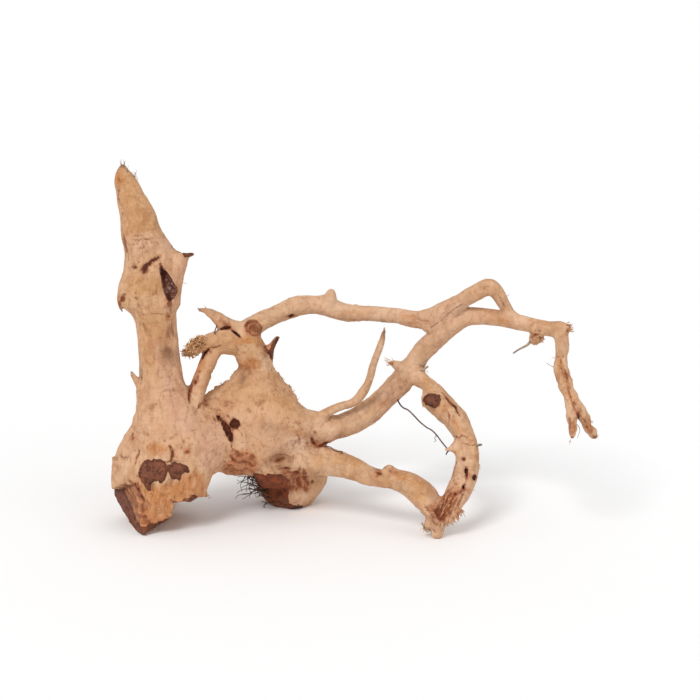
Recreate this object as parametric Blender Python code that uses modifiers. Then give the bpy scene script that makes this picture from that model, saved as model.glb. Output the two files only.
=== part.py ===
"""A spiderwood root: the dried root of a moorland shrub, stripped of its bark, as used in aquariums.

It grew as one piece, so it is one solid. The limbs are laid out on a front drawing, are swept as
tapering tubes, and are grown together by a voxel remesh. The sawn sole and the broken hollows are
cut afterwards.

Frame: metres, +Z up, origin at the middle of the footprint, on the surface that it rests on.
The tall stem is on the left (-X), and the front of the root faces -Y.
"""

import math

import bmesh
import bpy
from mathutils import Matrix, Vector

NAME = "spiderwood_root"

# The front drawing. One unit is 0.8 mm at the middle of the root, u runs right and v runs down.
# It is drawn in perspective, as seen from EYE metres away and LOOK_DOWN above the level.
UNIT = 0.0008
EYE = 1.322
LOOK_DOWN = math.radians(13.0)
SPAN = EYE / UNIT
U_MID, V_MID = 350.0, 350.0
Z_MID = 0.1414
SHIFT = Vector((0.0003, -0.0016, 0.0))

VOXEL = 0.00135
TRIANGLES = 9000
GAP = 0.0003

# Every limb is a chain of stations: u, v, depth in mm (+ is away from the front), radius in units.
# The second value is how deep the limb is from front to back, as a share of its width.
LIMBS = {
    "stem": (0.86, [
        (123, 166, 8, 2.6), (123.5, 172, 8, 6.6), (125, 180, 8, 10), (129, 190, 7, 12.6),
        (132.5, 200, 6, 15), (136, 210, 5, 17), (139, 220, 4, 18.2), (141, 230, 3, 19.4),
        (144.5, 240, 2, 21), (148.5, 250, 0, 23), (152, 260, -1, 26.5), (153.5, 270, -2, 28.5),
        (153, 280, -3, 28.4), (152.5, 290, -4, 27.5), (153, 298, -5, 26), (153.5, 305, -5, 23.8),
        (154.2, 312, -6, 22), (156, 320, -6, 20.8), (157.5, 340, -8, 20), (159, 355, -9, 20.2),
        (161, 370, -10, 20.8), (162.5, 385, -11, 22.6), (165, 400, -12, 26.5), (167, 415, -13, 32),
        (168, 430, -14, 39), (169, 445, -14, 45)]),
    "knob": (0.9, [(143, 281, -4, 20), (137, 291, -6, 17.8), (136, 295, -6, 15)]),
    "base": (0.92, [
        (168.5, 438, -14, 42.5), (169, 446, -14, 46), (167.5, 458, -13, 50), (164.5, 470, -12, 51.5),
        (162.5, 482, -10, 50), (160, 494, -8, 46)]),
    "toe": (1.0, [
        (152, 500, -16, 30), (147, 514, -26, 20), (143.5, 526, -35, 11), (142, 533, -41, 5.4)]),
    "base_corner": (1.0, [
        (182, 470, -14, 30), (196, 484, -18, 14), (204, 492, -20, 7.5), (207, 497, -21, 3)]),
    "base_spur": (1.0, [(124, 467, -18, 10), (117, 462, -19, 5), (113.5, 458, -19, 1.8)]),
    "knob_spur": (1.0, [(133, 296, -6, 12), (124, 298, -8, 6.5), (121.5, 304, -9, 3.6), (121, 308.5, -9, 1.8)]),
    "side_spike": (1.0, [(170, 264, -2, 15), (178, 259, -3, 8), (184, 256.5, -4, 3.8), (188, 255.5, -5, 2), (193, 254.5, -5, 1.2)]),
    "stem_twig": (1.0, [(147, 398, -16, 6), (140, 388, -18, 3.4), (135, 379, -20, 2.6), (132, 374, -21, 2)]),
    "heart": (0.96, [
        (246, 336, 20, 12), (250, 349, 21, 15.5), (255, 360, 22, 16.6), (256.5, 369, 22, 17.2),
        (257, 380, 22, 23), (257, 395, 20, 31.6), (258, 410, 17, 38), (261, 428, 14, 41.5),
        (266, 446, 17, 38), (274, 462, 26, 34), (284, 473, 36, 32), (292, 479.5, 42, 32)]),
    "shoulder": (1.0, [
        (252, 402, 18, 27), (234, 402, 13, 21.5), (219, 404, 7, 17.5), (206, 410, 1, 16),
        (192, 420, -5, 17)]),
    "saddle": (0.8, [(188, 440, -10, 34), (206, 438, -7, 32), (224, 440, 0, 30.5), (242, 441, 8, 33)]),
    "hump_lump": (1.0, [(282, 398, 18, 11), (290, 393, 18, 6), (294, 396, 17, 5)]),
    "right_shoulder": (1.0, [
        (262, 420, 14, 35), (284, 424, 10, 27.5), (300, 427.5, 6, 21), (312, 429, 4, 16.5), (324, 430, 5, 12)]),
    "low_lobe": (1.0, [(244, 432, 8, 27), (239, 446, 4, 24.5), (238, 453, 3, 22)]),
    "front_ridge": (1.0, [(264, 424, -12, 9), (266, 442, -12, 9), (267, 458, -7, 8), (268, 470, 0, 5)]),
    "main": (1.0, [
        (312, 429, 4, 14), (325, 430.5, 5, 11.4), (337, 428.5, 8, 11), (352, 423, 13, 11.2),
        (361, 418, 16, 11.2), (370, 412, 20, 11.4), (385, 397, 26, 11.2), (399, 382, 29, 11),
        (410, 367.5, 29, 11), (420, 354, 27, 10.8), (432, 341.5, 23, 10.4), (445, 329, 18, 10.2),
        (460, 318, 12, 9.6), (475, 315, 5, 8.5), (490, 316, -2, 7.8), (505, 318.5, -9, 7.4),
        (520, 322, -17, 6.9), (535, 326, -24, 6.7), (550, 328, -31, 6.6), (560, 329, -36, 6.8),
        (568, 328, -39, 5.6)]),
    "side_stub": (1.0, [(402, 371, 29, 7), (394, 366, 29, 5), (387, 362.5, 29, 2.6)]),
    "crook": (1.0, [(408, 372, 28, 9), (416, 371.5, 24, 8), (423, 369, 21, 3.4), (426, 367, 20, 2)]),
    "hanging": (1.0, [
        (560, 331, -36, 6.8), (562, 341, -39, 6.6), (561, 355, -42, 5.9), (560.5, 367, -45, 6.8),
        (564.5, 382, -49, 6.4), (571, 397, -54, 6.4), (576.5, 408.5, -57, 6.8)]),
    "prong_left": (1.0, [(575, 408, -57, 5.8), (572, 420, -60, 4.2), (571, 431, -62, 3.4), (571, 439, -63, 2.2)]),
    "prong_right": (1.0, [(577, 409, -57, 6), (584, 417.5, -56, 5.2), (588.5, 426, -54, 3.8), (594, 435, -52, 3.2)]),
    "burl": (1.0, [(538, 328, -25, 6), (537, 335, -26, 5.2), (537, 339, -27, 3.6)]),
    "arch": (1.0, [
        (244, 334, 20, 10.5), (251, 326.5, 22, 9.8), (259, 321.5, 26, 8.8), (270, 317, 32, 8.2),
        (285, 311, 40, 8.8), (297, 306, 46, 9.2), (312, 304.5, 51, 8.8), (325, 306, 54, 9),
        (338, 310.5, 54, 9.2), (352, 313.3, 51, 8.6), (370, 313.7, 45, 7.5), (390, 315.2, 36, 7.9),
        (405, 317.7, 28, 8.2), (420, 319, 20, 8.4), (433, 317, 12, 8.6), (447, 309.5, 5, 8.2),
        (460, 301, 0, 7.8), (473, 293.6, -5, 7.4), (485, 287.8, -9, 8), (494, 288.5, -10, 7.6),
        (501, 297, -10, 6.2), (506, 307, -10, 5.4), (511, 316.5, -11, 5.8)]),
    "arch_spike": (1.0, [(328, 304, 53, 7.4), (331, 298, 51, 5.4), (332, 292.5, 50, 3.6)]),
    "horn": (1.0, [
        (240, 332, 18, 8.5), (230, 326, 15, 7.2), (221, 320.5, 12, 6), (214, 315.5, 10, 4.6),
        (207, 311.5, 8, 3.2), (200, 309.7, 7, 2.2)]),
    "stub": (1.0, [
        (246, 341, 19, 12.5), (232, 342, 15, 11.5), (219, 342, 10, 8.8), (208, 344, 5, 8),
        (199, 346.5, 1, 7.8), (192, 349, -3, 6)]),
    "strut": (1.0, [
        (228, 343, 14, 9.4), (218, 346, 10, 8), (211.5, 354, 7, 7.6), (206.5, 364, 4, 7.4),
        (202, 375, 0, 7.4), (198.5, 386, -4, 7.6), (196, 396, -8, 7.4), (193.5, 405, -12, 8),
        (189, 415, -15, 9.5)]),
    "neck_twig": (1.0, [(266, 360, 20, 6), (269, 351, 18, 4.6), (272.5, 344, 17, 3), (277, 338, 16, 2.2)]),
    "twig": (1.0, [
        (312, 423, -2, 7), (322, 416.5, -3, 4.8), (332, 410, -1, 4), (342, 405.5, 2, 3.8),
        (352, 404, 5, 4), (360, 397, 4, 4.2), (366.5, 387, 1, 4), (370, 378, -2, 3.6),
        (372.5, 368, -5, 3.4), (374.5, 360, -7, 3.2), (378, 351, -9, 3), (381, 343, -11, 2.8),
        (383.2, 335, -13, 2.4), (384, 328, -14, 2)]),
    "hook": (1.0, [
        (408, 371, 27, 9.5), (417, 378.5, 20, 7.4), (428, 386.5, 12, 7.8), (437, 398, 6, 12),
        (446, 409, -2, 12.6), (454.5, 419, -9, 12), (461, 430, -15, 11), (464.5, 438, -19, 10.6),
        (466.5, 450, -25, 11), (467, 462, -30, 11.4), (465.5, 474, -34, 12), (461.5, 486, -39, 12),
        (455.5, 498, -43, 12), (450, 509, -45, 10.4), (449, 518, -46, 7.6)]),
    "hook_knot": (1.0, [(438, 400, 2, 9.5), (431, 400, -5, 8)]),
    "low": (1.0, [
        (272, 450, 12, 27), (290, 455, 6, 21), (310, 459, -1, 16), (326, 462.5, -7, 12.8),
        (342, 466, -12, 11.4), (357, 470, -17, 11.2), (370, 475, -22, 9.8), (382, 477.5, -26, 9.6),
        (391, 477.5, -29, 11), (402, 481, -33, 11.8), (413, 487.5, -37, 12), (423, 496, -41, 12),
        (431, 507, -44, 10.6), (435.5, 518, -46, 8.8), (436.5, 527, -47, 7.8), (437, 533.2, -47, 7)]),
    "low_spur": (1.0, [(432, 520, -45, 7), (427, 526, -46, 4.6), (425, 528, -46, 3)]),
    "foot_web": (1.0, [(435, 505, -43, 8), (446, 507, -44, 8)]),
    "back_stub": (1.0, [(262, 424, 34, 22), (268, 416, 48, 13), (271, 411, 57, 9)]),
    "rear_root": (1.0, [(168, 450, 6, 26), (165, 468, 20, 17), (165, 484, 31, 12), (170, 496, 37, 8)]),
    "back_ridge": (0.9, [(156, 330, 0, 14), (163, 370, 0, 14), (172, 400, 4, 18), (186, 424, 10, 22), (206, 436, 16, 22), (236, 436, 26, 24)]),
    "right_lip": (0.9, [(194, 452, -14, 30), (197, 466, -14, 20), (200, 476, -15, 13)]),
}

# Hollows that are open in the wood: stations as above, and the radius of the hollow.
HOLLOWS = {
    "stem_cavity": [(163, 272, -31, 2.2), (166, 279, -31.5, 4), (169.5, 288, -31, 6.6), (169.5, 295, -30, 5.6), (169.5, 300, -28.5, 3)],
    "heart_hole": [(234.5, 423.5, -17, 4.6)],
    "heart_slit": [(225, 426, -17, 2.4), (227.5, 433, -17.5, 3), (230, 439, -17, 2.2)],
}


def at(u, v, depth_mm):
    """The place of a station of the drawing, and the size of one drawing unit there."""
    right, up = (u - U_MID) / SPAN, (V_MID - v) / SPAN
    ray = Vector((
        right,
        math.cos(LOOK_DOWN) + up * math.sin(LOOK_DOWN),
        up * math.cos(LOOK_DOWN) - math.sin(LOOK_DOWN)))
    eye = Vector((0.0, -EYE * math.cos(LOOK_DOWN), Z_MID + EYE * math.sin(LOOK_DOWN)))
    reach = (depth_mm * 0.001 - eye.y) / ray.y
    return eye + ray * reach + SHIFT, reach / SPAN


def smooth_chain(stations, steps=4):
    """Points and radii on a Catmull-Rom curve through the stations."""
    placed = []
    for u, v, depth, radius in stations:
        point, unit = at(u, v, depth)
        placed.append((point, radius * unit))
    if len(placed) == 1:
        return placed
    ends = [placed[0]] + placed + [placed[-1]]
    points = []
    for i in range(1, len(ends) - 2):
        for k in range(steps):
            t = k / steps
            w = (-t + 2 * t * t - t ** 3, 2 - 5 * t * t + 3 * t ** 3,
                 t + 4 * t * t - 3 * t ** 3, t ** 3 - t * t)
            near = ends[i - 1:i + 3]
            point = sum((n[0] * (x / 2) for n, x in zip(near, w)), Vector())
            points.append((point, sum(n[1] * x / 2 for n, x in zip(near, w))))
    points.append(placed[-1])
    return points


def tube(name, chain, sides=3):
    """A tapering tube along a chain, as a mesh: a curve with a bevel and its caps closed."""
    curve = bpy.data.curves.new(name, "CURVE")
    curve.dimensions = "3D"
    curve.bevel_depth = 1.0
    curve.bevel_resolution = sides
    curve.use_fill_caps = True
    spline = curve.splines.new("POLY")
    spline.points.add(len(chain) - 1)
    for spot, (point, radius) in zip(spline.points, chain):
        spot.co = (*point, 1.0)
        spot.radius = radius
    swept = bpy.data.objects.new(name, curve)
    bpy.context.scene.collection.objects.link(swept)
    bpy.context.view_layer.update()
    graph = bpy.context.evaluated_depsgraph_get()
    mesh = bpy.data.meshes.new_from_object(swept.evaluated_get(graph))
    bpy.data.objects.remove(swept)
    return mesh


def flatten_depth(mesh, chain, share):
    """Thins a limb from front to back, about its own line."""
    for vertex in mesh.vertices:
        near = min(chain, key=lambda c: (c[0].x - vertex.co.x) ** 2 + (c[0].z - vertex.co.z) ** 2)
        vertex.co.y = near[0].y + (vertex.co.y - near[0].y) * share


def ball(shape, place, radius, share=1.0, detail=16):
    bmesh.ops.create_uvsphere(
        shape, u_segments=detail, v_segments=detail // 2 + 2, radius=radius,
        matrix=Matrix.Translation(place) @ Matrix.Diagonal((1.0, share, 1.0, 1.0)))


def grown_together():
    """All limbs in one mesh. They still overlap here, and the remesh makes them one surface."""
    shape = bmesh.new()
    for name, (share, stations) in LIMBS.items():
        chain = smooth_chain(stations)
        mesh = tube(name, chain)
        if share != 1.0:
            flatten_depth(mesh, chain, share)
        shape.from_mesh(mesh)
        bpy.data.meshes.remove(mesh)
        for point, radius in chain[::4]:
            ball(shape, point, radius, share)
    mesh = bpy.data.meshes.new(NAME)
    bmesh.ops.remove_doubles(shape, verts=shape.verts, dist=0.00001)
    shape.to_mesh(mesh)
    shape.free()
    return mesh


def wedge_below(name, a, b, c, thickness=0.08):
    """A thick slab whose inner face lies through three points, on the far side from the wood."""
    across, along = (b - a).normalized(), (c - a)
    normal = across.cross(along).normalized()
    if normal.z > 0:
        normal = -normal
    along = normal.cross(across).normalized()
    middle = (a + b + c) / 3 + normal * (thickness / 2)
    shape = bmesh.new()
    bmesh.ops.create_cube(shape, size=1.0)
    turn = Matrix((across, along, normal)).transposed().to_4x4()
    bmesh.ops.transform(
        shape, verts=shape.verts,
        matrix=Matrix.Translation(middle) @ turn @ Matrix.Diagonal((0.13, 0.12, thickness, 1.0)))
    bmesh.ops.recalc_face_normals(shape, faces=shape.faces)
    mesh = bpy.data.meshes.new(name)
    shape.to_mesh(mesh)
    shape.free()
    return mesh


def add(mesh, name, collection, hidden=False):
    made = bpy.data.objects.new(name, mesh)
    collection.objects.link(made)
    if hidden:
        made.hide_render = True
        made.display_type = "WIRE"
    return made


def hollow_mesh(name, stations):
    chain = smooth_chain(stations, 2)
    shape = bmesh.new()
    if len(chain) > 1:
        mesh = tube(name, chain, 2)
        shape.from_mesh(mesh)
        bpy.data.meshes.remove(mesh)
    for point, radius in chain:
        ball(shape, point, radius, 1.0, 10)
    mesh = bpy.data.meshes.new(name)
    shape.to_mesh(mesh)
    shape.free()
    return mesh


def main():
    for old in list(bpy.data.objects):
        bpy.data.objects.remove(old)
    scene = bpy.context.scene
    wood = bpy.data.collections.new("spiderwood")
    cutters = bpy.data.collections.new("cutters")
    scene.collection.children.link(wood)
    scene.collection.children.link(cutters)
    cutters.hide_render = True

    root = add(grown_together(), NAME, wood)
    union = root.modifiers.new("grow_together", "REMESH")
    union.mode = "VOXEL"
    union.voxel_size = VOXEL
    soften = root.modifiers.new("soften", "SMOOTH")
    soften.factor = 0.5
    soften.iterations = 4
    bpy.context.view_layer.update()
    graph = bpy.context.evaluated_depsgraph_get()
    fine = len(root.evaluated_get(graph).data.loop_triangles) or sum(
        len(p.vertices) - 2 for p in root.evaluated_get(graph).data.polygons)
    thin = root.modifiers.new("fewer_faces", "DECIMATE")
    thin.ratio = TRIANGLES / fine

    # The sole is sawn flat, and the wood rises from it on the left and on the right.
    tip, _ = at(142, 537, -46)
    rear_left, _ = at(127, 518.5, 18)
    rear_right, _ = at(168, 518.5, 18)
    left_edge, _ = at(112.5, 487, -14)
    right_edge, _ = at(172, 515.5, -46)
    for corner in (tip, rear_left, rear_right):
        corner.z = 0.0
    add(wedge_below("left_break", tip, rear_left, left_edge), "left_break", cutters, True)
    add(wedge_below("right_break", tip, rear_right, right_edge), "right_break", cutters, True)
    shape = bmesh.new()
    bmesh.ops.create_cube(
        shape, size=1.0,
        matrix=Matrix.Translation((0, 0, -0.05)) @ Matrix.Diagonal((0.6, 0.4, 0.1, 1.0)))
    floor = bpy.data.meshes.new("sole_plane")
    shape.to_mesh(floor)
    shape.free()
    add(floor, "sole_plane", cutters, True)
    for name, stations in HOLLOWS.items():
        mesh = hollow_mesh(name, stations)
        one = add(mesh, name, cutters, True)
        if len(stations) > 1:
            whole = one.modifiers.new("one_body", "REMESH")
            whole.mode = "VOXEL"
            whole.voxel_size = 0.0008
    for cutter in cutters.objects:
        cut = root.modifiers.new("cut_" + cutter.name, "BOOLEAN")
        cut.operation = "DIFFERENCE"
        cut.solver = "EXACT"
        cut.object = cutter

    bark_free = bpy.data.materials.new("bare_wood")
    bark_free.use_nodes = True
    shader = bark_free.node_tree.nodes["Principled BSDF"]
    shader.inputs["Base Color"].default_value = (0.63, 0.40, 0.23, 1.0)
    shader.inputs["Roughness"].default_value = 0.8
    shader.inputs["Metallic"].default_value = 0.0
    root.data.materials.append(bark_free)


main()
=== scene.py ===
"""A spiderwood root on a pale floor. The wood is one surface, taken off a distance field of its limbs."""

import math

import bpy
import numpy as np
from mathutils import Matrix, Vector


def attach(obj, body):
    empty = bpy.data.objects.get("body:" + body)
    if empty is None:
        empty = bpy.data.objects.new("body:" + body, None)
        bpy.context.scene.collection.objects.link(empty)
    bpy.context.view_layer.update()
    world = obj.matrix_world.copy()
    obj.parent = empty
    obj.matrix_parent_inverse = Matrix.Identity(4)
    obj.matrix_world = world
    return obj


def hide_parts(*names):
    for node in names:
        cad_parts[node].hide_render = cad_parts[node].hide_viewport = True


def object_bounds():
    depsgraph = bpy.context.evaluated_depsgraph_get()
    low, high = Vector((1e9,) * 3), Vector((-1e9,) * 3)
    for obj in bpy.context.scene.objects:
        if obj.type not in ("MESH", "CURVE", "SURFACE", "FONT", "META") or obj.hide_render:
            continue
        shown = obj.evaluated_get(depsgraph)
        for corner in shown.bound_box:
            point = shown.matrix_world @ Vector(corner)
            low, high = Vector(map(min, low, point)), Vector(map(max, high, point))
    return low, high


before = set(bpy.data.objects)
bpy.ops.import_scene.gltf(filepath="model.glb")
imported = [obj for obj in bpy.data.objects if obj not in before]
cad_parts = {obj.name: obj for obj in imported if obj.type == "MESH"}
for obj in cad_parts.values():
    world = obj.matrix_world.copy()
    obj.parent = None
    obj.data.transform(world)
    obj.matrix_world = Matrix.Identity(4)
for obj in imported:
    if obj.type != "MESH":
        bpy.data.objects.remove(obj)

cad_box = [list(map(float, corner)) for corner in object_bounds()]
rng = np.random.default_rng(7)

# ---------------------------------------------------------------- the front drawing, in millimetres
UNIT = 0.8
EYE = 1322.0
LOOK_DOWN = math.radians(13.0)
SPAN = EYE / UNIT
U_MID, V_MID = 350.0, 350.0
Z_MID = 141.4
SHIFT = np.array([0.3, -1.6, 0.0])
EYE_AT = np.array([0.0, -EYE * math.cos(LOOK_DOWN), Z_MID + EYE * math.sin(LOOK_DOWN)]) + SHIFT
RIGHT = np.array([1.0, 0.0, 0.0])
AHEAD = np.array([0.0, math.cos(LOOK_DOWN), -math.sin(LOOK_DOWN)])
UP = np.array([0.0, math.sin(LOOK_DOWN), math.cos(LOOK_DOWN)])


def at(u, v, depth):
    """The place of a station of the drawing, and the size of one drawing unit there."""
    ray = AHEAD + RIGHT * ((u - U_MID) / SPAN) + UP * ((V_MID - v) / SPAN)
    reach = (depth - (EYE_AT[1] - SHIFT[1])) / ray[1]
    return EYE_AT + ray * reach, reach / SPAN


def drawn(points):
    """Where points of the wood fall on the drawing."""
    rel = points - EYE_AT
    away = rel @ AHEAD
    return U_MID + (rel @ RIGHT) / away * SPAN, V_MID - (rel @ UP) / away * SPAN


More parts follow.
